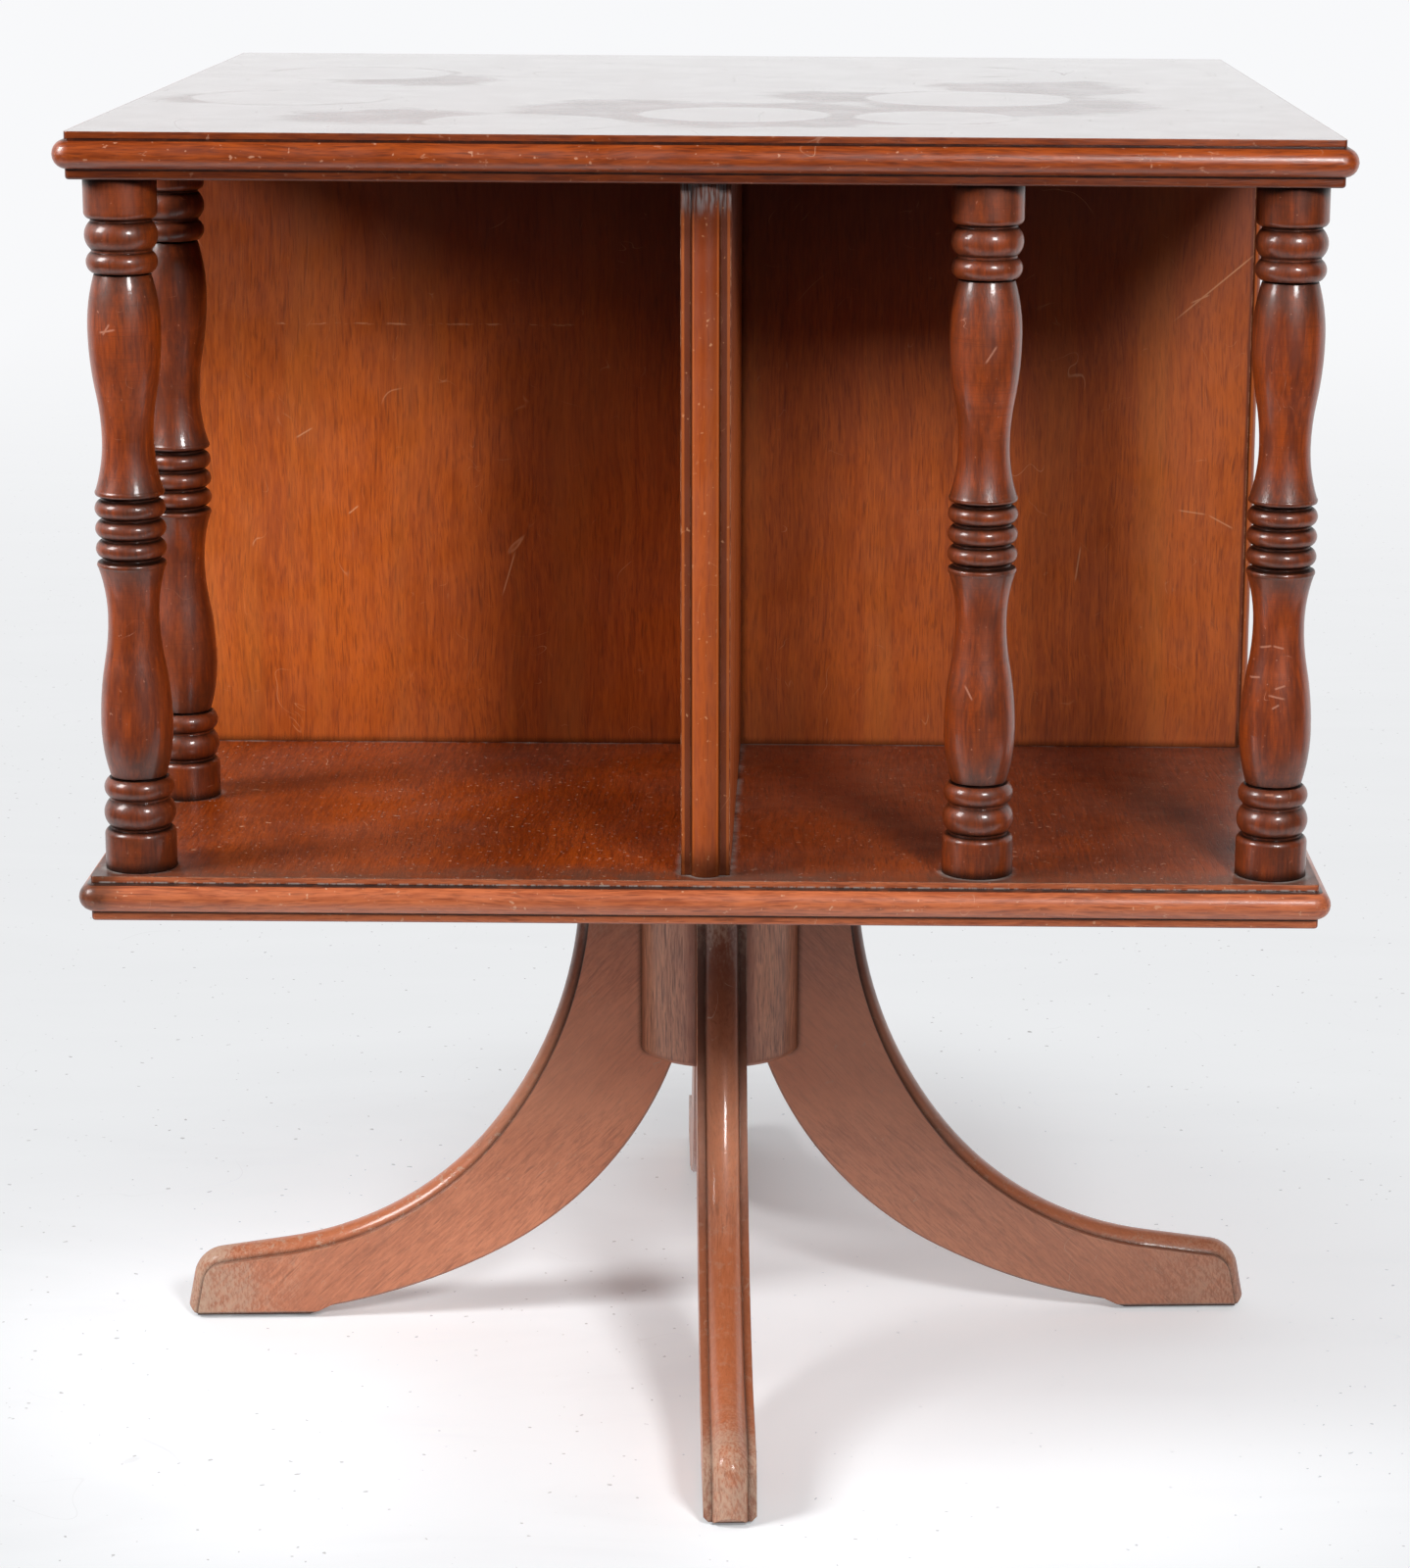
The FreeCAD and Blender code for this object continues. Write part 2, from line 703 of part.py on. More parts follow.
def make_pivot_bush():
    """The bush, through the upper plate into the board, flush below."""
    bore = S["pin_radius"] + S["running_clearance"]
    height = S["bush_depth"] + S["plate_thickness"]
    outline = [(bore, ZERO), (bush_radius, ZERO), (bush_radius, height), (bore, height)]
    return place(turned("pivot_bush", outline), up=case_bottom - S["plate_thickness"])


# ---------------------------------------------------------------- base

def leg_dowel_heights():
    """Heights above the column's foot of its dowels, every other one crossing the last."""
    room = S["column_height"] - S["pin_depth"] - S["leg_dowel_rise"] - S["leg_dowel_headroom"]
    return [S["leg_dowel_rise"] + room / 3 * index for index in range(4)]


def crossing_dowels():
    """The two ways that the dowels run through the column: name, plane across, heights."""
    heights = leg_dowel_heights()
    return ("sideways", "YZ_Plane", heights[0::2]), ("endways", "XZ_Plane", heights[1::2])


def draw_leg_dowels(sketch, heights, above=ZERO):
    """Round outlines of dowels, one above the other."""
    for height in heights:
        draw_circle(sketch, (ZERO, above + height), S["leg_dowel_radius"])


def make_column():
    """The round column, slotted for the four legs and bored for the pin and the dowels."""
    body = new_body("column")
    outline = new_sketch(body, "column_outline", "XY_Plane")
    draw_circle(outline, (ZERO, ZERO), S["column_radius"])
    pad(body, "column_barrel", outline, S["column_height"])
    dress(body, "Chamfer", "column_lower_chamfer", S["column_edge_chamfer"], lies_flat_at(0))
    slot_outline = new_sketch(body, "leg_slot_outline", "XY_Plane")
    half = S["leg_thickness"] / 2 + S["glue_gap"]
    floor = S["core_half_width"]
    mouth = S["column_radius"] * 2
    draw_chain(slot_outline, [(floor, -half), (mouth, -half), (mouth, half), (floor, half)])
    slot = pocket(body, "leg_slot", slot_outline, S["column_height"], forward=True)
    repeat_in_quarters(body, "leg_slots", slot)
    bore = new_sketch(body, "pin_bore_outline", "XY_Plane", S["column_height"])
    draw_circle(bore, (ZERO, ZERO), S["pin_radius"])
    pocket(body, "pin_bore", bore, S["pin_depth"])
    for way, plane, heights in crossing_dowels():
        holes = new_sketch(body, "leg_dowel_outline_" + way, plane)
        draw_leg_dowels(holes, heights)
        pocket(body, "leg_dowel_holes_" + way, holes, S["column_radius"] * 2, symmetric=True)
    return place(body, up=S["glide_height"] + column_foot, turn=S["base_turn"])


def make_leg_dowels():
    """Dowels through the column's core into opposite legs."""
    body = new_body("leg_dowels", several=True)
    length = (S["core_half_width"] + S["leg_dowel_depth"]) * 2
    for way, plane, heights in crossing_dowels():
        outline = new_sketch(body, "leg_dowel_section_" + way, plane)
        draw_leg_dowels(outline, heights)
        pad(body, "leg_dowel_rods_" + way, outline, length, symmetric=True)
    return place(body, up=S["glide_height"] + column_foot, turn=S["base_turn"])


def tangent_sweep(prefix, start, end, angles):
    """Two tangent arcs that fall outwards from start to end, with their centres outside.

    The angles say how far the radius has turned down from level at the start, where the arcs
    meet, and at the end.  Returns both radii and the meeting point.
    """
    across = end[0] - start[0]
    fall = start[1] - end[1]
    level = [cosine(angle) for angle in angles]
    down = [sine(angle) for angle in angles]
    first_across = level[0] - level[1]
    first_fall = down[1] - down[0]
    second_across = level[1] - level[2]
    second_fall = down[2] - down[1]
    share = first_across * second_fall - second_across * first_fall
    first = keep(prefix + "_first_radius", (across * second_fall - fall * second_across) / share)
    second = keep(prefix + "_second_radius", (fall * first_across - across * first_fall) / share)
    meeting = (keep(prefix + "_meeting_across", start[0] + first * first_across),
               keep(prefix + "_meeting_up", start[1] - first * first_fall))
    return first, second, meeting


def leg_crown():
    """The outer curve of a leg along the crown of its reed: points, their facing, and arcs.

    From the top: straight down, two hollow arcs, straight along the foot, a round toe and its
    leaning face.  Each point comes with the direction from the curve out of the leg.
    """
    angles = (plain(0), S["outer_meeting_angle"], S["outer_ankle_angle"])
    level, middle, foot, face = [
        (keep("facing_across_{}".format(index), cosine(angle)),
         keep("facing_up_{}".format(index), sine(angle)))
        for index, angle in enumerate(angles + (S["toe_lean"],))]
    foot_fall = S["foot_straight_length"] * foot[0]
    shoulder_up = keep("shoulder_up", S["ankle_height"] - foot_fall)
    brow_up = keep("brow_up", shoulder_up - S["toe_round"] * (foot[1] - face[1]))
    brow_reach = keep("brow_reach", S["toe_reach"] - brow_up * face[1] / face[0])
    shoulder_reach = keep("shoulder_reach", brow_reach - S["toe_round"] * (face[0] - foot[0]))
    knee = (S["leg_top_reach"], S["leg_height"] - S["leg_straight_length"])
    ankle = (shoulder_reach - S["foot_straight_length"] * foot[1], S["ankle_height"])
    upper, lower, meeting = tangent_sweep("outer", knee, ankle, angles)
    points = [
        (S["leg_top_reach"], S["leg_height"]), knee, meeting, ankle,
        (shoulder_reach, shoulder_up), (brow_reach, brow_up), (S["toe_reach"], ZERO),
    ]
    outward = [level, level, middle, foot, foot, face, face]
    arcs = {1: (upper, 1), 2: (lower, 1), 4: (S["toe_round"], -1)}
    return points, outward, arcs


def leg_edge():
    """The outer edge of the flat web, set in from the crown by the reed's projection."""
    depth = S["leg_reed_projection"]
    points, outward, arcs = leg_crown()
    corners = [(point[0] - depth * way[0], point[1] - depth * way[1])
               for point, way in zip(points[:-1], outward)]
    corners.append((S["toe_reach"] - depth / outward[-1][0], ZERO))
    arcs = {index: (radius + depth * side, side) for index, (radius, side) in arcs.items()}
    return keep_outline("leg_edge", corners, arcs)


def leg_web(edge):
    """The whole outline of the web: outer edge, toe, sole, inner curve and the joint face."""
    corners, arcs = edge
    sole_end = S["toe_reach"] - S["sole_length"]
    heel = (sole_end - S["heel_length"], S["heel_height"])
    inner_start = (S["inner_start_reach"], column_foot)
    angles = (S["inner_start_angle"], S["inner_meeting_angle"], S["inner_heel_angle"])
    upper, lower, meeting = tangent_sweep("inner", inner_start, heel, angles)
    inner = [
        (sole_end, ZERO),
        heel,
        meeting,
        inner_start,
        (S["core_half_width"], column_foot),
        (S["core_half_width"], S["leg_height"]),
    ]
    start = len(corners) + inner.index(heel)
    return corners + inner, {**arcs, start: (lower, -1), start + 1: (upper, -1)}


def on_inner_curve(edge):
    """Whether an edge follows one of the two inner arcs of a leg."""
    radii = (derived.inner_first_radius, derived.inner_second_radius)
    is_arc = isinstance(edge.Curve, Part.Circle)
    return is_arc and any(abs(edge.Curve.Radius - radius) < 1e-3 for radius in radii)


def glide_reaches():
    """Distances of the two glides of a foot from the pivot."""
    outer = S["toe_reach"] - S["glide_toe_margin"]
    return outer, outer - S["glide_pitch"]


def add_reed(body, name, edge):
    """Sweep the reed along the outer edge, rooted a little way in the web."""
    path = new_sketch(body, name + "_reed_path", "XZ_Plane")
    draw_chain(path, *edge, closed=False)
    section = new_sketch(body, name + "_reed_section", "XY_Plane", S["leg_height"])
    half = S["leg_reed_width"] / 2
    surface = S["leg_top_reach"] - S["leg_reed_projection"]
    root = surface - S["leg_reed_root"]
    crown = (bow_radius(half, S["leg_reed_projection"]), 1)
    draw_chain(section, [(root, -half), (surface, -half), (surface, half), (root, half)], {1: crown})
    reed = body.newObject("PartDesign::AdditivePipe", name + "_reed")
    reed.Profile = section
    reed.Spine = (path, [""])
    body.Tip = reed


def trim_toe(body, name):
    """Cut the reed's end level with the sole, and bevel the sole's front edge."""
    outline = new_sketch(body, name + "_toe_trim_outline", "XZ_Plane")
    bevel = S["toe_bevel"]
    edge = S["toe_reach"] - bevel
    clear = S["toe_reach"] + bevel
    draw_chain(outline, [
        (edge - bevel * 2, ZERO), (edge - bevel * 2, -bevel), (clear, -bevel), (clear, bevel * 2),
        (edge, ZERO),
    ])
    pocket(body, name + "_toe_trim", outline, S["leg_thickness"] * 2, symmetric=True)


def bore_leg(body, name, dowel_heights):
    """Holes for the dowels to the column, the plate's screw and the glides' nails."""
    dowels = new_sketch(body, name + "_dowel_outline", "YZ_Plane", S["core_half_width"])
    draw_leg_dowels(dowels, dowel_heights, column_foot)
    pocket(body, name + "_dowel_holes", dowels, S["leg_dowel_depth"], forward=True)
    screw = new_sketch(body, name + "_screw_outline", "XY_Plane", S["leg_height"])
    draw_circle(screw, (screw_circle, ZERO), S["screw_radius"])
    pocket(body, name + "_screw_hole", screw, S["screw_length"] - S["plate_thickness"])
    nails = new_sketch(body, name + "_nail_outline", "XY_Plane")
    for reach in glide_reaches():
        draw_circle(nails, (reach, ZERO), S["glide_nail_radius"])
    pocket(body, name + "_nail_holes", nails, S["glide_nail_length"], forward=True)


def make_leg(name, edge, web, quarter):
    """A sabre leg: a flat web, a reed along its outer edge, and a flat-soled foot."""
    body = new_body(name)
    outline = new_sketch(body, name + "_web_outline", "XZ_Plane")
    draw_chain(outline, *web)
    pad(body, name + "_web", outline, S["leg_thickness"], symmetric=True)
    dress(body, "Chamfer", name + "_inner_chamfer", S["leg_edge_chamfer"], on_inner_curve)
    dress(body, "Chamfer", name + "_sole_chamfer", S["sole_chamfer"],
          lambda edge: lies_flat_at(0)(edge) and edge.BoundBox.YLength < 1e-6)
    add_reed(body, name, edge)
    trim_toe(body, name)
    bore_leg(body, name, leg_dowel_heights()[quarter % 2::2])
    return place(body, up=S["glide_height"], turn=S["base_turn"] + 90 * quarter)


def make_glides(name, quarter):
    """The two domed glides under a foot, each on its nail and slightly flat in the middle."""
    body = new_body(name, several=True)
    rim = S["glide_height"]
    nail = S["glide_nail_radius"]
    nail_end = rim + S["glide_nail_length"]
    corners = [(ZERO, ZERO), (S["glide_flat_radius"], ZERO), (S["glide_radius"], rim), (nail, rim),
               (nail, nail_end), (ZERO, nail_end)]
    dome = bow_radius(S["glide_radius"] - S["glide_flat_radius"], rim)
    for place_name, reach in zip(("toe", "heel"), glide_reaches()):
        sketch = new_sketch(body, "{}_{}_profile".format(name, place_name), "XZ_Plane", aside=reach)
        draw_chain(sketch, corners, {1: (dome, 1)})
        revolve(body, "Revolution", "{}_{}_dome".format(name, place_name), sketch)
    return place(body, turn=S["base_turn"] + 90 * quarter)


def make_legs():
    """Four legs with their glides, a quarter turn apart."""
    edge = leg_edge()
    web = leg_web(edge)
    parts = []
    for quarter, side in enumerate(("right", "rear", "left", "front")):
        parts.append(make_leg("leg_" + side, edge, web, quarter))
        parts.append(make_glides("glides_" + side, quarter))
    return parts


# ---------------------------------------------------------------- the whole stand

def make_case():
    parts = [make_top_board(), make_bottom_board(), make_centre_panel()]
    parts.append(make_half_divider("rear_divider", 90))
    parts.append(make_half_divider("front_divider", 270))
    parts.append(make_board_dowels("lower_board_dowels", bay_bottom))
    parts.append(make_board_dowels("upper_board_dowels", bay_bottom + S["bay_height"]))
    parts.append(make_cross_dowels())
    parts += make_plate("upper_plate", bush_radius, case_bottom - S["plate_thickness"], plain(45),
                        heads_up=False)
    parts.append(make_pivot_bush())
    return parts + make_spindles()


def make_base():
    parts = [make_column(), make_leg_dowels(), make_thrust_ring(), make_pivot_pin()]
    parts += make_plate("lower_plate", S["pin_radius"] + S["running_clearance"], leg_top,
                        S["base_turn"], heads_up=True)
    return parts + make_legs()


def check_features():
    """Stop if a feature failed, or if a cut took nothing away."""
    for item in doc.Objects:
        if "Invalid" in item.State or "Error" in item.State:
            raise RuntimeError("{} failed: {}".format(item.Name, item.State))
        if item.TypeId in ("PartDesign::Pocket", "PartDesign::Groove"):
            if item.Shape.Volume > item.BaseFeature.Shape.Volume - 1:
                raise RuntimeError("{} cuts nothing".format(item.Name))


def export(parts):
    """Write each sub-part to its own STEP file."""
    os.makedirs("parts", exist_ok=True)
    for part in parts:
        if part.Shape.isNull() or not part.Shape.isValid():
            raise RuntimeError("{} has no valid shape".format(part.Label))
        part.Shape.exportStep("parts/{}.step".format(part.Label))


stand = make_case() + make_base()
doc.recompute()
check_features()
export(stand)
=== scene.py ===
import math

import bpy
from mathutils import Matrix, Vector


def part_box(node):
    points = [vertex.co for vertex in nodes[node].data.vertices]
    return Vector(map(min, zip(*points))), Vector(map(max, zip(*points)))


# Looks of the revolving atlas stand.  Metres, +Z up, origin on the floor below the pivot,
# front towards -Y.  Every CAD node keeps its shape and gets a procedural finish here.
# Heights and distances from the pivot are those of the stand at rest.  A colour is written
# as its red, green and blue.

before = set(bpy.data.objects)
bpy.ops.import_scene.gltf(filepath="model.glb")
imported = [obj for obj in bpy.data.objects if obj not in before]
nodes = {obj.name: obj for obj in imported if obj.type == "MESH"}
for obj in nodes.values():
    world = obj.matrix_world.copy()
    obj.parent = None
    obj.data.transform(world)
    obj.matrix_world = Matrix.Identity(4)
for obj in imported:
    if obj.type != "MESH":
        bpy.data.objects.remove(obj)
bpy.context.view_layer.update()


# ---------------------------------------------------------------- places on the object

TOP_LOW, TOP_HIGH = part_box("top_board")
BOTTOM_LOW, BOTTOM_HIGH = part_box("bottom_board")
BAY_MIDDLE = (BOTTOM_HIGH.z + TOP_LOW.z) / 2
COLUMN_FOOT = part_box("column")[0].z

# A board's roll stands out between two fillets, round a flat.
MOULDING_PROJECTION = 0.0061
MOULDING_HEIGHT = 0.0139
LOWER_FILLET = 0.0048
BOARD_HALF = TOP_HIGH.x - MOULDING_PROJECTION
FLAT_HALF = BOARD_HALF - 0.0003

# A panel's end is reeded from here to its tip, and its features lie this far off its middle.
PANEL_END_START = (0.2865, 0.2880)
PANEL_FLANK_START = (0.0062, 0.0074)
PANEL_QUIRK = (0.0066, 0.0072)
PANEL_ARRISES = ((0.0104, 0.0112, 0.0005), (0.0056, 0.0060, 0.0004))
PANEL_FACE = -0.011

# Half of a spindle, as heights off the middle of the bay.
BEAD_END = (0.0145, 0.0155)
BY_BEADS = (0.040, 0.017)
BY_RINGS = (0.084, 0.119)
RING_START = (0.122, 0.123)
MARKED_DEPTH = 0.012
SPINDLE_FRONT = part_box("corner_spindle_front_left")[0].y + MARKED_DEPTH

GRAIN_ACROSS = (0, math.pi / 2, 0)
GRAIN_BACK = (math.pi / 2, 0, 0)
GRAIN_SLANTED = (0, math.pi / 4, 0)

# ---------------------------------------------------------------- photographic view

IMAGE_HEIGHT = 1600
SENSOR = 36.0
FOCAL_PIXELS = 4017.58
EYE = Vector((0.050826, -2.144537, 0.846702))
HEADING = math.radians(-0.0648)
PITCH = math.radians(-13.389)
LEAN = math.radians(0.3897)
SHIFT_PIXELS = (103.03, -42.76)
FAR_CLIP = 100


def make_camera():
    """The photograph's viewpoint, as a plain pinhole with a small shift for its crop."""
    data = bpy.data.cameras.new("photo_camera")
    data.sensor_width = SENSOR
    data.lens = FOCAL_PIXELS / IMAGE_HEIGHT * SENSOR
    data.shift_x = -SHIFT_PIXELS[0] / IMAGE_HEIGHT
    data.shift_y = SHIFT_PIXELS[1] / IMAGE_HEIGHT
    data.clip_end = FAR_CLIP
    camera = bpy.data.objects.new("photo_camera", data)
    camera.matrix_world = (
        Matrix.Translation(EYE)
        @ Matrix.Rotation(-HEADING, 4, "Z")
        @ Matrix.Rotation(math.pi / 2 + PITCH, 4, "X")
        @ Matrix.Rotation(LEAN, 4, "Z"))
    bpy.context.scene.collection.objects.link(camera)
    bpy.context.scene.camera = camera


# ---------------------------------------------------------------- node trees in short calls

class Tree:
    """A node tree, with short calls that add nodes and join them."""

    def __init__(self, owner):
        owner.use_nodes = True
        self.tree = owner.node_tree

    def node(self, kind, sockets=None, **settings):
        """A node with its settings, and its sockets fed from values or other sockets."""
        node = self.tree.nodes.new("ShaderNode" + kind)
        for name, value in settings.items():
            setattr(node, name, value)
        for name, value in (sockets or {}).items():
            self.feed(node.inputs[name], value)
        return node

    def feed(self, socket, value):
        """Join a socket to another one, or set it to a plain value or colour."""
        if isinstance(value, bpy.types.NodeSocket):
            self.tree.links.new(value, socket)
        elif socket.type == "RGBA":
            socket.default_value = (*value, 1)
        else:
            socket.default_value = value

    def math(self, operation, *values):
        node = self.node("Math", operation=operation)
        for socket, value in zip(node.inputs, values):
            self.feed(socket, value)
        return node.outputs[0]

    def times(self, *values):
        """Product of two or more numbers."""
        product = values[0]
        for value in values[1:]:
            product = self.math("MULTIPLY", product, value)
        return product

    def add(self, *values):
        """Sum of two or more numbers."""
        total = values[0]
        for value in values[1:]:
            total = self.math("ADD", total, value)
        return total

    def most(self, *values):
        """Largest of two or more numbers."""
        largest = values[0]
        for value in values[1:]:
            largest = self.math("MAXIMUM", largest, value)
        return largest

    def size(self, value):
        """A number without its sign."""
        return self.math("ABSOLUTE", value)

    def inverse(self, share):
        """1 where a share is 0, and 0 where it is 1."""
        return self.math("SUBTRACT", 1.0, share)

    def vector(self, operation, first, second=(0, 0, 0), result="Vector"):
        node = self.node("VectorMath", operation=operation)
        self.feed(node.inputs[0], first)
        self.feed(node.inputs[1], second)
        return node.outputs[result]

    def dot(self, first, second):
        return self.vector("DOT_PRODUCT", first, second, "Value")

    def ramp(self, value, low, high, first=0.0, last=1.0):
        """Smooth step of a value between two edges, from the first result to the last."""
        node = self.node("MapRange", interpolation_type="SMOOTHSTEP", sockets={
            "Value": value, "From Min": low, "From Max": high, "To Min": first, "To Max": last})
        return node.outputs[0]

    def choose(self, share, first, last):
        """The first number where a share is 0, the last where it is 1."""
        return self.ramp(share, 0.0, 1.0, first, last)

    def between(self, value, low, high, soft):
        """1 between two edges, falling off softly outside them."""
        return self.times(self.ramp(value, low - soft, low), self.ramp(value, high + soft, high))

    def mix(self, share, first, second):
        """Mix two colours by a share."""
        node = self.node("Mix", data_type="RGBA")
        for index, value in ((0, share), (6, first), (7, second)):
            self.feed(node.inputs[index], value)
        return node.outputs[2]

    def noise(self, vector, scale, detail, roughness, distortion=0.0):
        """Smooth noise; the scale is one number, or one for each axis, in features per metre."""
        if isinstance(scale, tuple):
            vector = self.node("Mapping", sockets={"Vector": vector, "Scale": scale}).outputs[0]
            scale = 1.0
        node = self.node("TexNoise", sockets={
            "Vector": vector, "Scale": scale, "Detail": detail, "Roughness": roughness,
            "Distortion": distortion})
        return node.outputs["Fac"]

    def split(self, vector):
        return self.node("SeparateXYZ", sockets={"Vector": vector}).outputs


class Finish(Tree):
    """A material for pieces of the object."""

    def __init__(self, name):
        self.material = bpy.data.materials.new(name)
        super().__init__(self.material)
        self.surface = self.tree.nodes["Principled BSDF"]
        self.place = self.node("TexCoord").outputs["Object"]
        self.x, self.y, self.z = self.split(self.place)

    def set(self, **sockets):
        """Feed the surface's sockets; an underscore stands for a blank."""
        for name, value in sockets.items():
            self.feed(self.surface.inputs[name.replace("_", " ")], value)

    def fed(self, name):
        """The output that feeds one of the surface's sockets."""
        return self.surface.inputs[name].links[0].from_socket

    def turned(self, *turns):
        """Space turned step by step, so that the grain runs along its Z."""
        space = self.place
        for turn in turns:
            space = self.node("Mapping", sockets={"Vector": space, "Rotation": turn}).outputs[0]
        return space

    def patches(self, scale, detail, roughness, edges, amounts=(0.0, 1.0)):
        """Soft patches, where a noise passes between two edges."""
        return self.ramp(self.noise(self.place, scale, detail, roughness), *edges, *amounts)

    def side_reach(self):
        """Distance from the pivot towards the nearest side of the square case."""
        return self.most(self.size(self.x), self.size(self.y))

    def reach(self):
        """Distance from the foot of the pivot."""
        return self.vector("LENGTH", self.place, result="Value")

    def away(self, point):
        """Distance from a point."""
        return self.vector("DISTANCE", self.place, point, "Value")

    def facing(self):
        """The true normal."""
        return self.node("NewGeometry").outputs["Normal"]

    def rounded(self, radius):
        """Normal with its sharp edges rounded."""
        return self.node("Bevel", sockets={"Radius": radius}, samples=4).outputs[0]

    def arris(self, soft):
        """1 where the surface turns sharply, 0 where it is plain."""
        true = self.facing()
        return self.ramp(self.dot(soft, true), 0.995, 0.90)

    def crevice(self, distance, low, high, amount=1.0):
        """The amount deep in grooves and inner corners, 0 on open surfaces, read from ambient
        occlusion; where it darkens a colour, the darkening is partly painted shade.
        """
        node = self.node("AmbientOcclusion", sockets={"Distance": distance}, samples=6)
        return self.ramp(node.outputs["AO"], high, low, 0.0, amount)

    def bump(self, height, distance, normal=None):
        sockets = {"Height": height, "Distance": distance, "Strength": 1.0}
        if normal is not None:
            sockets["Normal"] = normal
        return self.node("Bump", sockets=sockets).outputs[0]


def paint(names, material):
    """Give CAD nodes a finish."""
    for name in names:
        node = nodes[name]
        node.data.materials.clear()
        node.data.materials.append(material)


# ---------------------------------------------------------------- wood

class Figure:
    """Colours of wood: its light and dark bands, and its pores."""

    def __init__(self, light, dark, pore):
        self.light = light
        self.dark = dark
        self.pore = pore

    def blended(self, finish, share, other):
        """This figure where a share is 0, and another where it is 1."""
        return Figure(finish.mix(share, self.light, other.light),
                      finish.mix(share, self.dark, other.dark),
                      finish.mix(share, self.pore, other.pore))


class Wood(Figure):
    """One kind of surface in the lacquered mahogany: its figure, its wear and its gloss."""

    def __init__(self, light, dark, pore, wear, grime_and_shade_tone, roughness, coat, coat_roughness):
        super().__init__(light, dark, pore)
        self.wear = wear
        self.grime_and_shade_tone = grime_and_shade_tone
        self.roughness = roughness
        self.coat = coat
        self.coat_roughness = coat_roughness


PANEL = Wood(light=(0.55, 0.113, 0.011), dark=(0.36, 0.064, 0.006), pore=(0.13, 0.022, 0.004),
             wear=(0.70, 0.33, 0.16), grime_and_shade_tone=(0.05, 0.012, 0.004),
             roughness=0.45, coat=0.12, coat_roughness=0.25)
TOP_EDGE = Wood(light=(0.38, 0.070, 0.010), dark=(0.19, 0.030, 0.005), pore=(0.07, 0.013, 0.006),
                wear=(0.62, 0.30, 0.18), grime_and_shade_tone=(0.016, 0.005, 0.004),
                roughness=0.36, coat=0.4, coat_roughness=0.22)
BOTTOM_EDGE = Wood(light=(0.60, 0.165, 0.062), dark=(0.36, 0.080, 0.028),
                   pore=(0.14, 0.032, 0.014), wear=(0.70, 0.40, 0.25), grime_and_shade_tone=(0.016, 0.006, 0.005),
                   roughness=0.40, coat=0.4, coat_roughness=0.2)
SPINDLE = Wood(light=(0.38, 0.056, 0.002), dark=(0.17, 0.022, 0.001), pore=(0.05, 0.008, 0.001),
               wear=(0.50, 0.20, 0.12), grime_and_shade_tone=(0.008, 0.004, 0.003),
               roughness=0.46, coat=0.55, coat_roughness=0.13)
COLUMN = Wood(light=(0.72, 0.335, 0.190), dark=(0.38, 0.152, 0.085), pore=(0.10, 0.038, 0.024),
              wear=(0.55, 0.24, 0.12), grime_and_shade_tone=(0.030, 0.013, 0.010),
              roughness=0.42, coat=0.35, coat_roughness=0.2)
LEG = Wood(light=(0.66, 0.248, 0.128), dark=(0.52, 0.180, 0.090), pore=(0.20, 0.070, 0.040),
           wear=(0.52, 0.37, 0.275), grime_and_shade_tone=(0.020, 0.009, 0.007),
           roughness=0.42, coat=0.25, coat_roughness=0.2)

# The boards' flats share the wear, grime and painted shade of their edges.
BOTTOM_FLAT = Figure(light=(0.30, 0.049, 0.003), dark=(0.16, 0.023, 0.002),
                     pore=(0.07, 0.011, 0.002))
BOTTOM_FLAT_COAT = 0.25
TOP_FLAT = Figure(light=(0.15, 0.030, 0.009), dark=(0.09, 0.017, 0.005), pore=(0.03, 0.007, 0.003))
TOP_FLAT_COAT = 1.0
TOP_DULLED_COAT = 0.83
TOP_FLAT_ROUGHNESS = 0.05
TOP_COAT_IOR = 1.65

# The figure's parts, as features per metre twice across the grain and once along it.
BANDS = (13, 13, 1.8)
STREAKS = (230, 230, 9)
FIBRES = (620, 620, 60)
LONG_PORES = (760, 760, 55)
FINE_PORES = (1500, 1500, 130)


def bent(finish, grain, amount):
    """Grain space bent a little, so that rows of pores aren't ruled lines."""
    sway = finish.node("TexNoise", sockets={"Vector": grain, "Scale": 9.0, "Detail": 1.0})
    small = finish.node("VectorMath", operation="SCALE", sockets={"Scale": amount})
    finish.feed(small.inputs[0], sway.outputs["Color"])
    return finish.vector("ADD", grain, small.outputs[0])


def wood_figure(finish, grain, figure, bold=0.55):
    """Mahogany: soft bands, fine streaks and short dark pores, all along the grain.

    Returns the colour, and a height for the open pores.
    """
    swept = bent(finish, grain, 0.012)
    bands = finish.noise(swept, BANDS, 3, 0.55, 0.6)
    streaks = finish.noise(swept, STREAKS, 3, 0.65)
    fibres = finish.noise(swept, FIBRES, 2, 0.6)
    mixed = finish.add(
        finish.times(bands, 0.36), finish.times(streaks, 0.26), finish.times(fibres, 0.38))
    colour = finish.mix(finish.ramp(mixed, 0.38, 0.62), figure.dark, figure.light)
    long_pores = finish.ramp(finish.noise(swept, LONG_PORES, 1, 0.5), 0.58, 0.74)
    fine_pores = finish.ramp(finish.noise(swept, FINE_PORES, 1, 0.5), 0.56, 0.70)
    pores = finish.most(long_pores, finish.times(fine_pores, 0.7))
    return finish.mix(finish.times(pores, bold), colour, figure.pore), pores


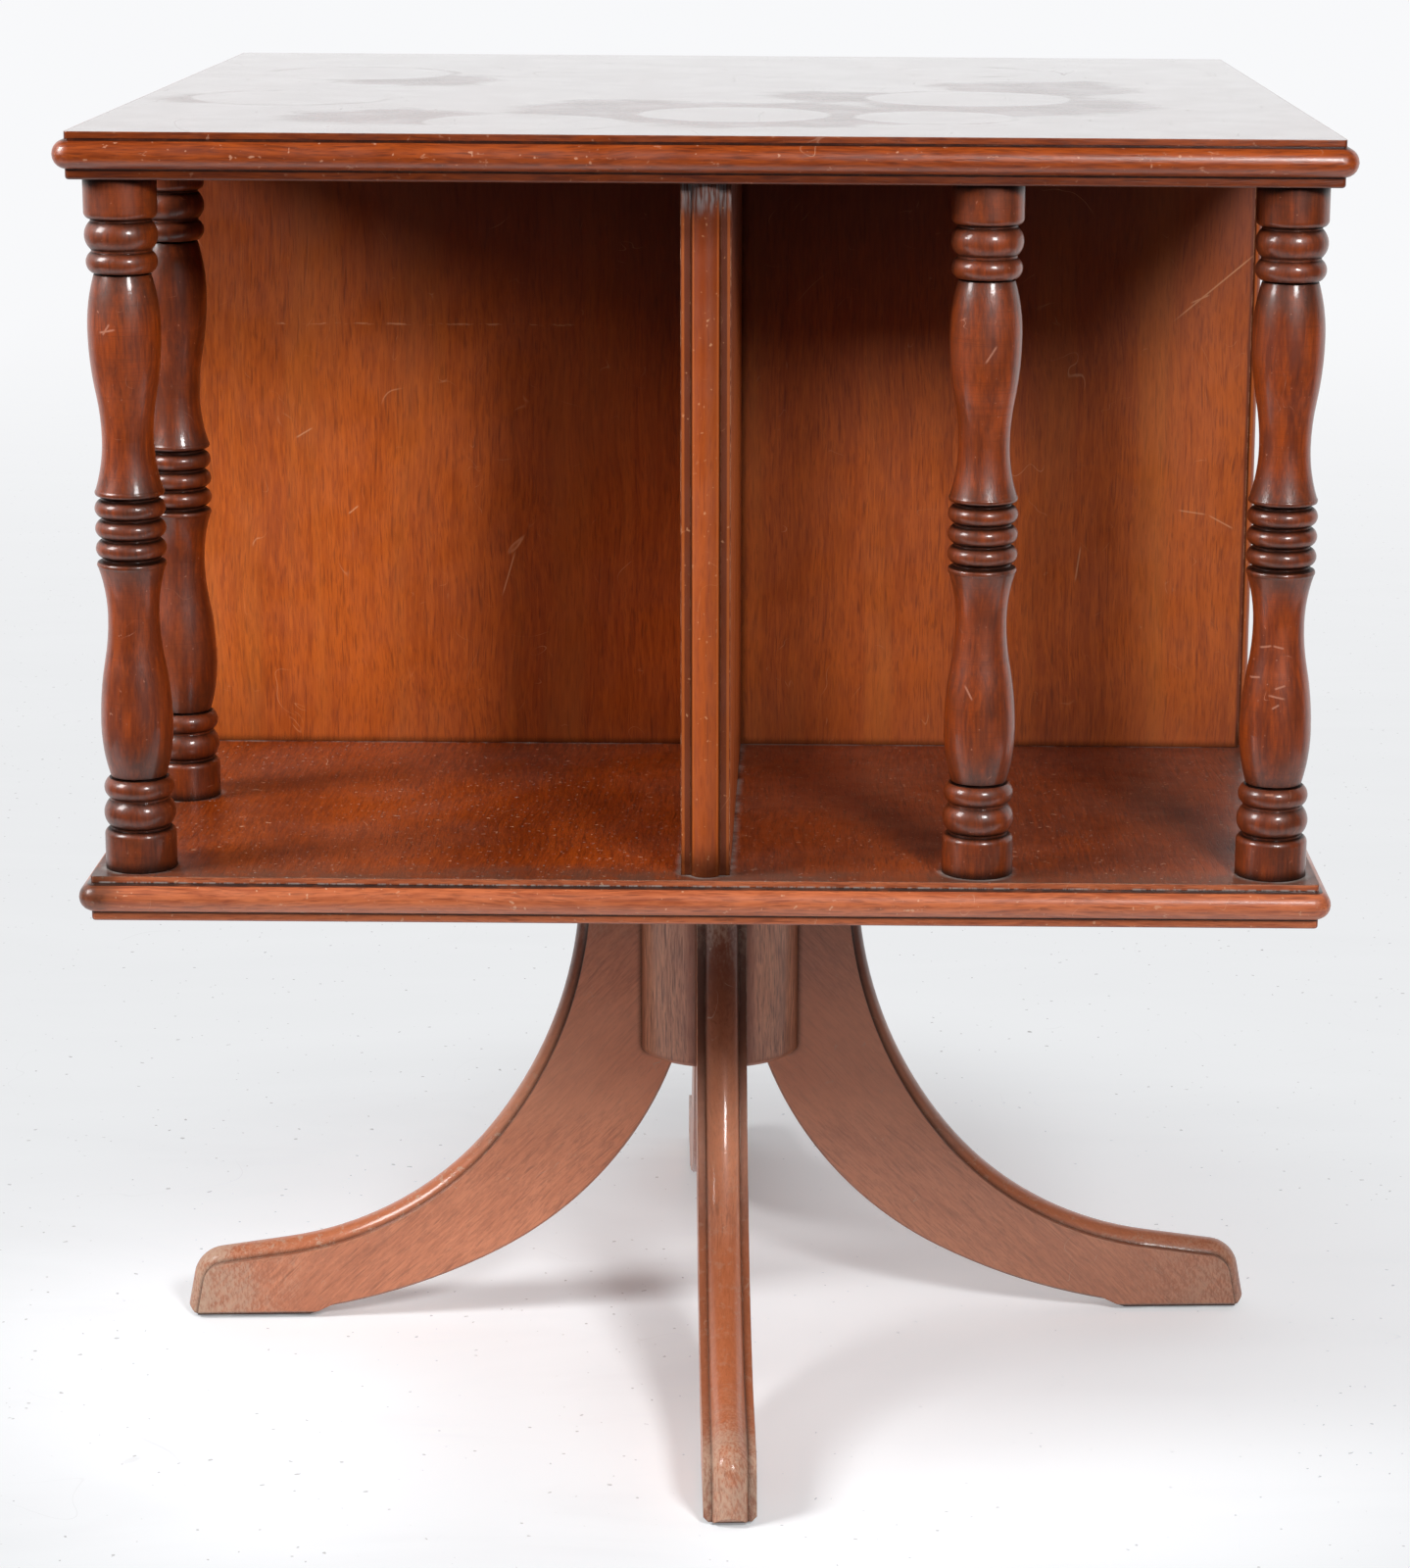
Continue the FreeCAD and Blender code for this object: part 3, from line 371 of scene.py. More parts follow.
def scratches(finish, scale, width, amount, where=(0.60, 0.70)):
    """Thin curved lines, here and there: where a noise crosses its middle and another allows."""
    lines = finish.noise(finish.place, scale, 1, 0.5, 1.5)
    near = finish.ramp(finish.size(finish.math("SUBTRACT", lines, 0.5)), width, 0.0)
    return finish.times(near, finish.patches(scale * 1.7, 2, 0.6, where, (0.0, amount)))


def flecks(finish, scale, low, high, amount):
    """Small scattered marks, such as dust and chips."""
    return finish.patches(scale, 1, 0.5, (low, high), (0.0, amount))


def rubbed_edges(finish, soft, low, high, amount):
    """Worn arrises, broken up by a coarse noise."""
    rub = finish.noise(finish.place, 140, 3, 0.7)
    return finish.times(finish.arris(soft), finish.ramp(rub, low, high, 0.0, amount))


def lacquer(finish, wood, colour, pores, worn, grime_and_shade, soft):
    """Lay wear, dark soiling with painted shade in hollows, and lacquer over a figured colour."""
    colour = finish.mix(worn, colour, wood.wear)
    # Grime and painted shade, darkest in hollows.
    colour = finish.mix(grime_and_shade, colour, wood.grime_and_shade_tone)
    rough = finish.patches(35, 3, 0.6, (0.3, 0.7), (wood.roughness - 0.06, wood.roughness + 0.08))
    rough = finish.add(rough, finish.times(worn, 0.2))
    clean = finish.inverse(finish.times(grime_and_shade, 0.85))
    ripple = finish.noise(finish.place, 520, 3, 0.6)
    finish.set(Base_Color=colour, Roughness=rough, Coat_Weight=finish.times(clean, wood.coat),
               Specular_IOR_Level=finish.times(clean, 0.5), Coat_Roughness=wood.coat_roughness,
               Normal=finish.bump(pores, -0.00004, soft),
               Coat_Normal=finish.bump(ripple, 0.00003, soft))


def stroke(finish, start, end, width):
    """1 along a straight scratch seen from the front, fading towards its ends."""
    begin = Vector((start[0], 0, start[1]))
    way = Vector((end[0], 0, end[1])) - begin
    length = way.length
    way.normalize()
    from_begin = finish.vector("SUBTRACT", finish.place, begin)
    along = finish.dot(from_begin, way)
    off = finish.dot(from_begin, (way.z, 0, -way.x))
    on_line = finish.ramp(finish.size(off), width, width * 0.3)
    return finish.times(on_line, finish.between(along, length * 0.2, length * 0.8, length * 0.2))


def strokes(finish, ends, width):
    """1 along each of several scratches, given by their ends."""
    marks = 0.0
    for start, end in ends:
        marks = finish.most(marks, stroke(finish, start, end, width))
    return marks


# ---------------------------------------------------------------- panels

GOLD = (0.62, 0.180, 0.026)
# The colour of the painted shade on the panels.
PAINTED_SHADE = (0.10, 0.011, 0.001)
BLOOM = (0.20, 0.18, 0.18)
# The colour of the painted highlights along the arrises of a panel's end.
ARRIS_HIGHLIGHT = (0.55, 0.125, 0.016)
PANEL_END = (0.26, 0.038, 0.004)
PANEL_FLANK = (0.11, 0.022, 0.007)
# The painted shade reaches this far below the top board, and the darker foot this far above the
# bottom board.
PAINTED_SHADE_HEIGHT = 0.160
DARK_FOOT_HEIGHT = 0.055
INNER_BAYS = (-0.140, 0.180, 0.080)
SHADED_STRIP = (-0.105, -0.075, 0.050)

# Scratches on the front of the centre panel, from (x, z) to (x, z).
PANEL_STROKES = (((0.245, 0.574), (0.292, 0.614)), ((0.255, 0.585), (0.266, 0.590)),
                 ((0.251, 0.4715), (0.268, 0.4690)), ((0.268, 0.4690), (0.283, 0.4610)),
                 ((-0.232, 0.508), (-0.222, 0.514)), ((-0.204, 0.466), (-0.198, 0.471)),
                 ((0.196, 0.430), (0.199, 0.452)), ((-0.120, 0.420), (-0.112, 0.447)))
PANEL_STROKE_WIDTH = 0.0006
RUBBED_LINE_ENDS = (-0.237, -0.077)
RUBBED_LINE_HEIGHT = 0.571
RUBBED_LINE_HALF = 0.0002


def panel_marks(finish):
    """The scratches on the centre panel's front, and the line that books rubbed into it."""
    marks = strokes(finish, PANEL_STROKES, PANEL_STROKE_WIDTH)
    ticks = finish.patches((110, 1, 600), 2, 0.6, (0.50, 0.62))
    line = finish.between(finish.z, RUBBED_LINE_HEIGHT - RUBBED_LINE_HALF,
                          RUBBED_LINE_HEIGHT + RUBBED_LINE_HALF, 0.0006)
    line = finish.times(line, finish.between(finish.x, *RUBBED_LINE_ENDS, 0.01), ticks)
    on_front = finish.math("LESS_THAN", finish.y, PANEL_FACE)
    return finish.times(finish.most(marks, line), on_front, 0.55)


def painted_shade_areas(finish):
    """Painted shade: darker under the top board, more so well inside, and in an upright strip left
    of the middle; the wood is also darker along the foot.
    """
    inner = finish.add(finish.times(finish.between(finish.x, *INNER_BAYS), 0.18), 0.70)
    under_top = finish.ramp(finish.z, TOP_LOW.z - PAINTED_SHADE_HEIGHT, TOP_LOW.z)
    at_foot = finish.ramp(finish.z, BOTTOM_HIGH.z + DARK_FOOT_HEIGHT, BOTTOM_HIGH.z, 0.0, 0.26)
    strip = finish.times(finish.between(finish.x, *SHADED_STRIP), 0.28)
    return finish.most(finish.times(under_top, inner), at_foot, strip)


def make_panel_wood():
    """The crossed panels: golden streaks, scratches, and a dark end towards the room."""
    finish = Finish("panel_wood")
    colour, pores = wood_figure(finish, finish.place, PANEL, 0.5)
    gilt = finish.noise(bent(finish, finish.place, 0.01), (34, 34, 1.6), 3, 0.6)
    colour = finish.mix(finish.ramp(gilt, 0.46, 0.75, 0.0, 0.35), colour, GOLD)
    # Painted shade under the top board and in an upright strip left of the middle.
    colour = finish.mix(painted_shade_areas(finish), colour, PAINTED_SHADE)
    soft = finish.rounded(0.0009)
    worn = finish.most(rubbed_edges(finish, soft, 0.42, 0.60, 0.6), panel_marks(finish),
                       scratches(finish, 16, 0.0035, 0.5), scratches(finish, 37, 0.006, 0.4))
    at_end = finish.ramp(finish.side_reach(), *PANEL_END_START)
    colour = finish.mix(finish.times(at_end, 0.48), colour, PANEL_END)
    aside = finish.math("MINIMUM", finish.size(finish.x), finish.size(finish.y))
    flank = finish.times(at_end, finish.ramp(aside, *PANEL_FLANK_START, 0.0, 0.75))
    colour = finish.mix(flank, colour, PANEL_FLANK)
    # Painted highlights: thin bright lines along the arrises of the reeded end.
    arrises = [finish.between(aside, *arris) for arris in PANEL_ARRISES]
    arris_highlight = finish.times(at_end, finish.most(*arrises))
    colour = finish.mix(finish.times(arris_highlight, 0.6), colour, ARRIS_HIGHLIGHT)
    quirk = finish.times(at_end, finish.between(aside, *PANEL_QUIRK, 0.0004), 0.85)
    by_boards = finish.most(finish.ramp(finish.z, TOP_LOW.z - 0.036, TOP_LOW.z - 0.010),
                            finish.ramp(finish.z, BOTTOM_HIGH.z + 0.020, BOTTOM_HIGH.z + 0.003))
    patchy = finish.patches(60, 3, 0.6, (0.30, 0.60), (0.45, 0.85))
    # Grime and painted shade in grooves and inner corners.
    grime_and_shade = finish.times(finish.crevice(0.005, 0.60, 0.95), 0.75)
    grime_and_shade = finish.most(grime_and_shade, quirk, finish.times(by_boards, at_end, patchy))
    worn = finish.most(worn, finish.times(at_end, flecks(finish, 420, 0.71, 0.77, 0.5)))
    lacquer(finish, PANEL, colour, pores, worn, grime_and_shade, soft)
    bloom = finish.patches((620, 620, 70), 2, 0.6, (0.40, 0.60), (0.1, 0.8))
    near_top = finish.ramp(finish.z, TOP_LOW.z - 0.018, TOP_LOW.z - 0.006)
    bloom = finish.times(at_end, bloom, near_top)
    finish.set(Base_Color=finish.mix(bloom, finish.fed("Base Color"), BLOOM),
               Specular_IOR_Level=0.25)
    return finish.material


# ---------------------------------------------------------------- boards

DUST = (0.42, 0.38, 0.35)
DULL_RIM = (0.095, 0.050, 0.034)
PATINA = (0.038, 0.0115, 0.004)
DARK_CORNER = (BOTTOM_LOW.x, BOTTOM_LOW.y, BOTTOM_HIGH.z)


def board_parts(finish):
    """1 on a board's flat and 0 on its moulding, and its grain.

    The grain runs front to back on the flat, and lengthwise along each moulding.
    """
    across = finish.size(finish.x)
    along = finish.size(finish.y)
    flat = finish.math("LESS_THAN", finish.most(across, along), FLAT_HALF)
    back = finish.most(flat, finish.math("GREATER_THAN", across, along))
    pick = finish.node("Mix", data_type="VECTOR")
    grains = finish.turned(GRAIN_ACROSS), finish.turned(GRAIN_BACK)
    for index, value in ((0, back), (4, grains[0]), (5, grains[1])):
        finish.feed(pick.inputs[index], value)
    return flat, pick.outputs[1]


def board_wood(finish, flat_figure, edge, low, fillet_darkness):
    """A board whose lower face is at this height, with dark fillets above and below its roll; the
    lower fillet's darkness is painted shade under the roll.
    """
    flat, grain = board_parts(finish)
    colour, pores = wood_figure(finish, grain, edge.blended(finish, flat, flat_figure))
    soft = finish.rounded(0.0008)
    roll_start = low + LOWER_FILLET
    roll_end = roll_start + MOULDING_HEIGHT
    outside = finish.ramp(finish.side_reach(), BOARD_HALF - 0.0006, BOARD_HALF - 0.0001)
    # Painted shade on the lower fillet under the roll; the upper fillet is darkened half as much.
    fillets = finish.most(finish.ramp(finish.z, roll_end - 0.0004, roll_end + 0.0002, 0.0, 0.5),
                          finish.ramp(finish.z, roll_start + 0.0004, roll_start - 0.0002))
    dark_fillets = finish.times(outside, fillets, fillet_darkness)
    quirks = finish.most(
        finish.between(finish.z, roll_end - 0.0004, roll_end + 0.0005, 0.0004),
        finish.between(finish.z, roll_start - 0.0006, roll_start + 0.0003, 0.0003))
    patchy = finish.patches(70, 3, 0.7, (0.30, 0.55), (0.75, 0.95))
    # Grime and painted shade in grooves and inner corners, the dark fillets, and grime along the
    # quirks.
    grime_and_shade = finish.most(finish.times(finish.crevice(0.004, 0.50, 0.85), 0.85), dark_fillets,
                       finish.times(outside, quirks, patchy))
    chips = finish.patches((110, 110, 240), 4, 0.7, (0.66, 0.68))
    worn = finish.most(rubbed_edges(finish, soft, 0.36, 0.60, 0.7),
                       scratches(finish, 26, 0.004, 0.6), flecks(finish, 330, 0.72, 0.78, 0.6),
                       finish.times(outside, chips, 0.4))
    worn = finish.times(worn, finish.inverse(finish.times(dark_fillets, 0.6)))
    lacquer(finish, edge, colour, pores, worn, grime_and_shade, soft)


def make_bottom_wood():
    """The bottom board: dust on its flat, along its upper quirk and round what stands on it."""
    finish = Finish("bottom_board_wood")
    board_wood(finish, BOTTOM_FLAT, BOTTOM_EDGE, BOTTOM_LOW.z, 0.12)
    on_top = finish.ramp(finish.z, BOTTOM_HIGH.z - 0.0004, BOTTOM_HIGH.z - 0.0002)
    specks = flecks(finish, 420, 0.70, 0.76, 0.55)
    corner_dust = finish.crevice(0.004, 0.70, 0.97, 0.55)
    broken = finish.patches(55, 4, 0.65, (0.35, 0.65))
    rim = finish.ramp(finish.side_reach(), BOARD_HALF - 0.034, BOARD_HALF - 0.006, 0.0, 0.75)
    rim = finish.times(on_top, rim, finish.choose(broken, 0.5, 1.0))
    colour = finish.mix(rim, finish.fed("Base Color"), DULL_RIM)
    # Darker round the board's front left corner.
    dark_corner = finish.ramp(finish.away(DARK_CORNER), 0.026, 0.014)
    dark_corner = finish.times(dark_corner, finish.choose(broken, 0.7, 1.0), 0.9)
    colour = finish.mix(dark_corner, colour, PATINA)
    veil = finish.patches(9, 3, 0.6, (0.40, 0.70), (0.0, 0.05))
    dust = finish.times(on_top, finish.most(specks, finish.times(corner_dust, broken), veil))
    roll_end = BOTTOM_LOW.z + LOWER_FILLET + MOULDING_HEIGHT
    above_quirk = finish.between(finish.z, roll_end + 0.0006, roll_end + 0.0010, 0.0004)
    lint = finish.patches((240, 240, 1), 3, 0.7, (0.42, 0.60), (0.0, 0.6))
    dust = finish.most(dust, finish.times(above_quirk, lint))
    finish.set(Base_Color=finish.mix(dust, colour, DUST),
               Specular_IOR_Level=finish.choose(on_top, 0.4, 0.25),
               Coat_Weight=finish.choose(on_top, BOTTOM_EDGE.coat, BOTTOM_FLAT_COAT))
    return finish.material


# Marks on the top, each a centre and a radius: patches of dull haze, and clean rounds in them.
HAZE = (((-0.170, 0.070), 0.045), ((-0.262, -0.090), 0.030), ((-0.155, -0.200), 0.055),
        ((-0.047, -0.142), 0.062), ((0.024, -0.169), 0.085), ((0.170, 0.030), 0.058),
        ((0.064, -0.037), 0.045), ((0.150, -0.100), 0.080))
ROUNDS = (((-0.207, 0.117), 0.054), ((-0.222, -0.074), 0.053), ((-0.090, -0.226), 0.050),
          ((0.011, -0.168), 0.050), ((0.132, -0.051), 0.056), ((0.139, 0.166), 0.043),
          ((0.110, -0.179), 0.042))


def top_marks(finish):
    """How dull the polished top is: haze, the rims of clean rounds, specks and scratches."""
    sway = finish.noise(finish.place, 18, 3, 0.6, 0.5)
    haze = 0.0
    rims = 0.0
    clean = 1.0
    for centre, radius in HAZE:
        away = finish.away((*centre, TOP_HIGH.z))
        away = finish.add(away, finish.times(sway, 0.07), -0.035)
        haze = finish.most(haze, finish.ramp(away, radius + 0.012, radius - 0.016))
    for centre, radius in ROUNDS:
        away = finish.away((*centre, TOP_HIGH.z))
        away = finish.add(away, finish.times(sway, 0.008))
        clean = finish.times(clean, finish.ramp(away, radius - 0.001, radius + 0.004))
        off_rim = finish.size(finish.add(away, -radius - 0.004))
        rims = finish.most(rims, finish.ramp(off_rim, 0.006, 0.0))
    broken = finish.patches((22, 9, 1), 3, 0.6, (0.42, 0.62))
    specks = finish.patches((420, 60, 1), 2, 0.6, (0.70, 0.76))
    lines = finish.noise(finish.place, (14, 5, 1), 1, 0.5, 1.5)
    lines = finish.ramp(finish.size(finish.add(lines, -0.5)), 0.0035, 0.0)
    lines = finish.times(lines, finish.patches((30, 12, 1), 1, 0.5, (0.56, 0.64)))
    return finish.most(finish.times(haze, clean, 0.9), finish.times(rims, broken, 0.8),
                       specks, lines)


def make_top_wood():
    """The top board, its flat polished nearly like glass, with dull marks."""
    finish = Finish("top_board_wood")
    board_wood(finish, TOP_FLAT, TOP_EDGE, TOP_LOW.z, 0.50)
    flat = finish.math("LESS_THAN", finish.side_reach(), FLAT_HALF)
    on_top = finish.times(flat, finish.math("GREATER_THAN", finish.z, TOP_HIGH.z - 0.001))
    dull = finish.times(on_top, top_marks(finish))
    gloss = finish.add(finish.times(dull, 0.12), TOP_FLAT_ROUGHNESS)
    weight = finish.choose(dull, TOP_FLAT_COAT, TOP_DULLED_COAT)
    finish.set(Coat_Weight=finish.choose(on_top, TOP_EDGE.coat, weight),
               Coat_Roughness=finish.choose(on_top, TOP_EDGE.coat_roughness, gloss),
               Coat_IOR=TOP_COAT_IOR)
    return finish.material


# ---------------------------------------------------------------- spindles

EMBER = (0.50, 0.080, 0.003)
CORNER_TARNISH = 0.30
MIDDLE_TARNISH = 0.50

# Scratches on the fronts of the spindles, from (x, z) to (x, z).
SPINDLE_STROKES = (((0.267, 0.4528), (0.273, 0.4543)), ((0.273, 0.4543), (0.279, 0.4529)),
                   ((0.263, 0.4378), (0.268, 0.4388)), ((0.274, 0.4335), (0.280, 0.4355)),
                   ((0.271, 0.4306), (0.280, 0.4288)), ((0.273, 0.4239), (0.277, 0.4263)),
                   ((0.271, 0.3810), (0.276, 0.3812)), ((-0.287, 0.6019), (-0.278, 0.6038)),
                   ((-0.285, 0.6005), (-0.281, 0.6066)), ((-0.263, 0.4605), (-0.258, 0.4548)),
                   ((0.132, 0.5900), (0.138, 0.5993)), ((0.125, 0.4344), (0.129, 0.4267)))
SPINDLE_STROKE_WIDTH = 0.0007


def spindle_marks(finish):
    """The scratches on the fronts of the spindles."""
    marks = strokes(finish, SPINDLE_STROKES, SPINDLE_STROKE_WIDTH)
    return finish.times(marks, finish.math("LESS_THAN", finish.y, SPINDLE_FRONT), 0.6)


def make_spindle_wood(name, tarnish):
    """Turned spindles: dark by their rings and beads, redder on the swellings."""
    finish = Finish(name)
    colour, pores = wood_figure(finish, finish.place, SPINDLE, 0.35)
    ember = finish.patches((110, 110, 22), 4, 0.70, (0.44, 0.70), (0.0, 0.5))
    colour = finish.mix(ember, colour, EMBER)
    turning = finish.patches((18, 18, 1500), 1, 0.5, (0.50, 0.80), (0.0, 0.45))
    colour = finish.mix(turning, colour, SPINDLE.dark)
    height = finish.size(finish.add(finish.z, -BAY_MIDDLE))
    blotch = finish.patches((60, 60, 45), 5, 0.75, (0.34, 0.66), (0.45, 0.95))
    by_rings = finish.most(finish.ramp(height, *BY_RINGS), finish.ramp(height, *BY_BEADS))
    on_rings = finish.ramp(height, *RING_START, 1.0, 0.82)
    on_beads = finish.ramp(height, *BEAD_END, 0.82, 1.0)
    patina = finish.times(by_rings, on_rings, on_beads, blotch, 0.84)
    patina = finish.most(patina, finish.times(blotch, tarnish))
    colour = finish.mix(patina, colour, PATINA)
    soft = finish.rounded(0.0005)
    worn = finish.most(rubbed_edges(finish, soft, 0.50, 0.66, 0.4),
                       scratches(finish, 40, 0.006, 0.6), flecks(finish, 500, 0.74, 0.80, 0.5),
                       spindle_marks(finish))
    # Grime and painted shade in the turned grooves.
    grime_and_shade = finish.times(finish.crevice(0.006, 0.62, 0.98), 0.95)
    lacquer(finish, SPINDLE, colour, pores, worn, grime_and_shade, soft)
    finish.set(Specular_IOR_Level=0.03)
    return finish.material


# ---------------------------------------------------------------- base

class Leg:
    """What tells one leg's finish from another's."""

    def __init__(self, degrees, toe_wear, reed_wear, fade_and_sheen):
        self.turn = math.radians(degrees)
        self.toe_wear = toe_wear
        self.reed_wear = reed_wear
        self.fade_and_sheen = fade_and_sheen


LEGS = {
    "leg_right": Leg(degrees=2.5, toe_wear=0.45, reed_wear=0.45, fade_and_sheen=0.30),
    "leg_rear": Leg(degrees=92.5, toe_wear=1.00, reed_wear=0.60, fade_and_sheen=0.30),
    "leg_left": Leg(degrees=182.5, toe_wear=0.95, reed_wear=0.90, fade_and_sheen=0.08),
    "leg_front": Leg(degrees=272.5, toe_wear=0.85, reed_wear=0.30, fade_and_sheen=0.00),
}
COLUMN_CORNER = (0.36, 0.105, 0.040)
REED_TOP = (0.12, 0.022, 0.003)
REED_FLANK = (0.085, 0.042, 0.030)
REED_BRIGHT = (0.50, 0.125, 0.032)
# Painted light on the legs' bend, and painted shade by the case.
LEG_PAINTED_LIGHT = (0.80, 0.345, 0.195)
LEG_SHADE = (0.19, 0.085, 0.055)
# A grey laid over some legs: partly faded lacquer, partly a painted sheen of reflected light.
FADE_AND_SHEEN = (0.34, 0.235, 0.195)

# Heights on the legs: the low and high edge of a band with its softness, or the start and end
# of a change.
PAINTED_LIGHT_BAND = (0.135, 0.175, 0.035)
REED_BRIGHT_BAND = (0.040, 0.085, 0.020)
SHADED_HEIGHT = (0.195, 0.275)
REED_TOP_HEIGHT = (0.14, 0.24)
REED_HIGH = (0.13, 0.24)
REED_SPOTTED_HEIGHT = (0.20, 0.08)

# Other changes: off a leg's middle, out to its toe, off the middle of the leg beside the
# column's face, and how far a surface is turned to the leg's side.
REED_FLANK_START = (0.0078, 0.0094)
TOE_REACH = (0.215, 0.300)
BY_LEG = (0.0215, 0.0155)
FACING_ASIDE = (0.93, 0.985)
LEG_MOTTLE = (330, 330, 110)
TOE_HATCH = (700, 700, 260)
REED_SPOTS = (160, 160, 240)
REED_COAT = 0.5
REED_COAT_ROUGHNESS = 0.09


def make_column_wood():
    """The column, a washed-out grey-brown, redder beside the legs and along its lower edge."""
    finish = Finish("column_wood")
    colour, pores = wood_figure(finish, finish.place, COLUMN, 0.7)
    across, along, _ = finish.split(finish.turned((0, 0, -LEGS["leg_right"].turn)))
    off_leg = finish.math("MINIMUM", finish.size(across), finish.size(along))
    by_leg = finish.ramp(off_leg, *BY_LEG, 0.0, 0.75)
    low_edge = finish.ramp(finish.z, COLUMN_FOOT + 0.0045, COLUMN_FOOT + 0.0015, 0.0, 0.8)
    colour = finish.mix(finish.most(by_leg, low_edge), colour, COLUMN_CORNER)
    soft = finish.rounded(0.0010)
    worn = finish.most(rubbed_edges(finish, soft, 0.35, 0.55, 0.8),
                       scratches(finish, 30, 0.004, 0.4), flecks(finish, 380, 0.74, 0.80, 0.5))
    # Grime and painted shade in grooves and inner corners.
    grime_and_shade = finish.times(finish.crevice(0.008, 0.50, 0.95), 0.8)
    lacquer(finish, COLUMN, colour, pores, worn, grime_and_shade, soft)
    return finish.material


def leg_colour(finish, colour, grain, leg):
    """Lay fading with a painted grey sheen, a band of painted light on the bend and painted shade
    by the case over a leg's figure.
    """
    mottle = finish.ramp(finish.noise(grain, LEG_MOTTLE, 3, 0.75), 0.44, 0.66, 0.0, 0.26)
    colour = finish.mix(mottle, colour, LEG.pore)
    # Faded lacquer and a painted grey sheen.
    colour = finish.mix(leg.fade_and_sheen, colour, FADE_AND_SHEEN)
    # Painted light: a paler band across the legs at mid height.
    painted_light = finish.times(finish.between(finish.z, *PAINTED_LIGHT_BAND), 0.45)
    colour = finish.mix(painted_light, colour, LEG_PAINTED_LIGHT)
    return finish.mix(finish.ramp(finish.z, *SHADED_HEIGHT, 0.0, 0.68), colour, LEG_SHADE)


def reed_colour(finish, colour, on_reed, aside):
    """Lay a reed's dark top, its darker flanks, more so high up, and its bright lower part over a
    colour.
    """
    high = finish.ramp(finish.z, *REED_HIGH)
    dark = finish.times(on_reed, finish.ramp(finish.z, *REED_TOP_HEIGHT, 0.05, 0.95))
    colour = finish.mix(dark, colour, REED_TOP)
    flank = finish.times(on_reed, finish.ramp(aside, *REED_FLANK_START),
                         finish.choose(high, 0.45, 0.85))
    colour = finish.mix(flank, colour, REED_FLANK)
    bright = finish.times(on_reed, finish.inverse(flank),
                          finish.between(finish.z, *REED_BRIGHT_BAND), 0.55)
    return finish.mix(bright, colour, REED_BRIGHT)


def toe_wear(finish, leg):
    """How scored and how rubbed a leg's toe is."""
    toe = finish.ramp(finish.reach(), *TOE_REACH)
    rub = finish.noise(finish.place, 48, 4, 0.7, 0.5)
    hatch = finish.noise(bent(finish, finish.place, 0.03), TOE_HATCH, 2, 0.7)
    rub = finish.add(finish.times(rub, 0.6), finish.times(hatch, 0.4))
    scored = finish.most(finish.ramp(hatch, 0.56, 0.42, 0.0, 0.35),
                         scratches(finish, 42, 0.02, 0.5, (0.40, 0.55)))
    rubbed = finish.ramp(finish.add(rub, finish.times(toe, 0.13)), 0.48, 0.72, 0.0, 0.9)
    unscored = finish.inverse(finish.times(scored, 0.7))
    return finish.times(toe, scored), finish.times(rubbed, toe, unscored, leg.toe_wear)


def make_leg_wood(name, leg):
    """A leg: slanting grain, a dark seam along its reed, and a rubbed and scuffed toe."""
    finish = Finish(name)
    grain = finish.turned((0, 0, -leg.turn), GRAIN_SLANTED)
    colour, pores = wood_figure(finish, grain, LEG, 0.4)
    colour = leg_colour(finish, colour, grain, leg)
    sideways = (-math.sin(leg.turn), math.cos(leg.turn), 0)
    aside = finish.size(finish.dot(finish.place, sideways))
    turned_aside = finish.size(finish.dot(finish.facing(), sideways))
    on_reed = finish.inverse(finish.ramp(turned_aside, *FACING_ASIDE))
    colour = reed_colour(finish, colour, on_reed, aside)
    scored, rubbed = toe_wear(finish, leg)
    colour = finish.mix(scored, colour, LEG.pore)
    soft = finish.rounded(0.0009)
    spots = finish.times(on_reed, finish.patches(REED_SPOTS, 3, 0.7, (0.54, 0.66)),
                         finish.ramp(finish.z, *REED_SPOTTED_HEIGHT, 0.0, leg.reed_wear), 0.7)
    worn = finish.most(rubbed_edges(finish, soft, 0.42, 0.60, 0.6),
                       scratches(finish, 24, 0.004, 0.7), scratches(finish, 60, 0.012, 0.5),
                       rubbed, spots)
    # Grime and painted shade in grooves and inner corners.
    grime_and_shade = finish.times(finish.crevice(0.004, 0.60, 0.95), 0.9)
    lacquer(finish, LEG, colour, pores, worn, grime_and_shade, soft)
    clean = finish.inverse(finish.most(grime_and_shade, worn))
    finish.set(Specular_IOR_Level=finish.times(clean, 0.28),
               Coat_Weight=finish.times(clean, finish.choose(on_reed, LEG.coat, REED_COAT)),
               Coat_Roughness=finish.choose(on_reed, LEG.coat_roughness, REED_COAT_ROUGHNESS))
    return finish.material


# ---------------------------------------------------------------- plain finishes

def make_plain(name, light, dark, scale, metallic, roughness):
    """A piece in one stuff, its colour and gloss a little uneven."""
    finish = Finish(name)
    mottle = finish.noise(finish.place, scale, 4, 0.6)
    grain = finish.noise(finish.place, scale * 9, 2, 0.5)
    finish.set(Base_Color=finish.mix(finish.ramp(mottle, 0.3, 0.7), dark, light),
               Roughness=finish.ramp(mottle, 0.3, 0.7, roughness - 0.08, roughness + 0.08),
               Metallic=metallic, Normal=finish.bump(grain, 0.00003))
    return finish.material


# ---------------------------------------------------------------- studio

LAMP_TARGET = Vector((0, 0, 0.5))
LAMP_DISTANCE = 2.0
BACKDROP = (0.94, 0.945, 0.96)
SWEEP = (1.0, 1.0, 1.01)
DARK_ROOM = (0.012, 0.012, 0.013)
BEHIND = (0.05, 0.45)
LOW_DOWN = (0.80, 0.55)
FLOOR_SIDE = 1.35
FLOOR_FRONT = -1.40
FLOOR_BACK = 30.0

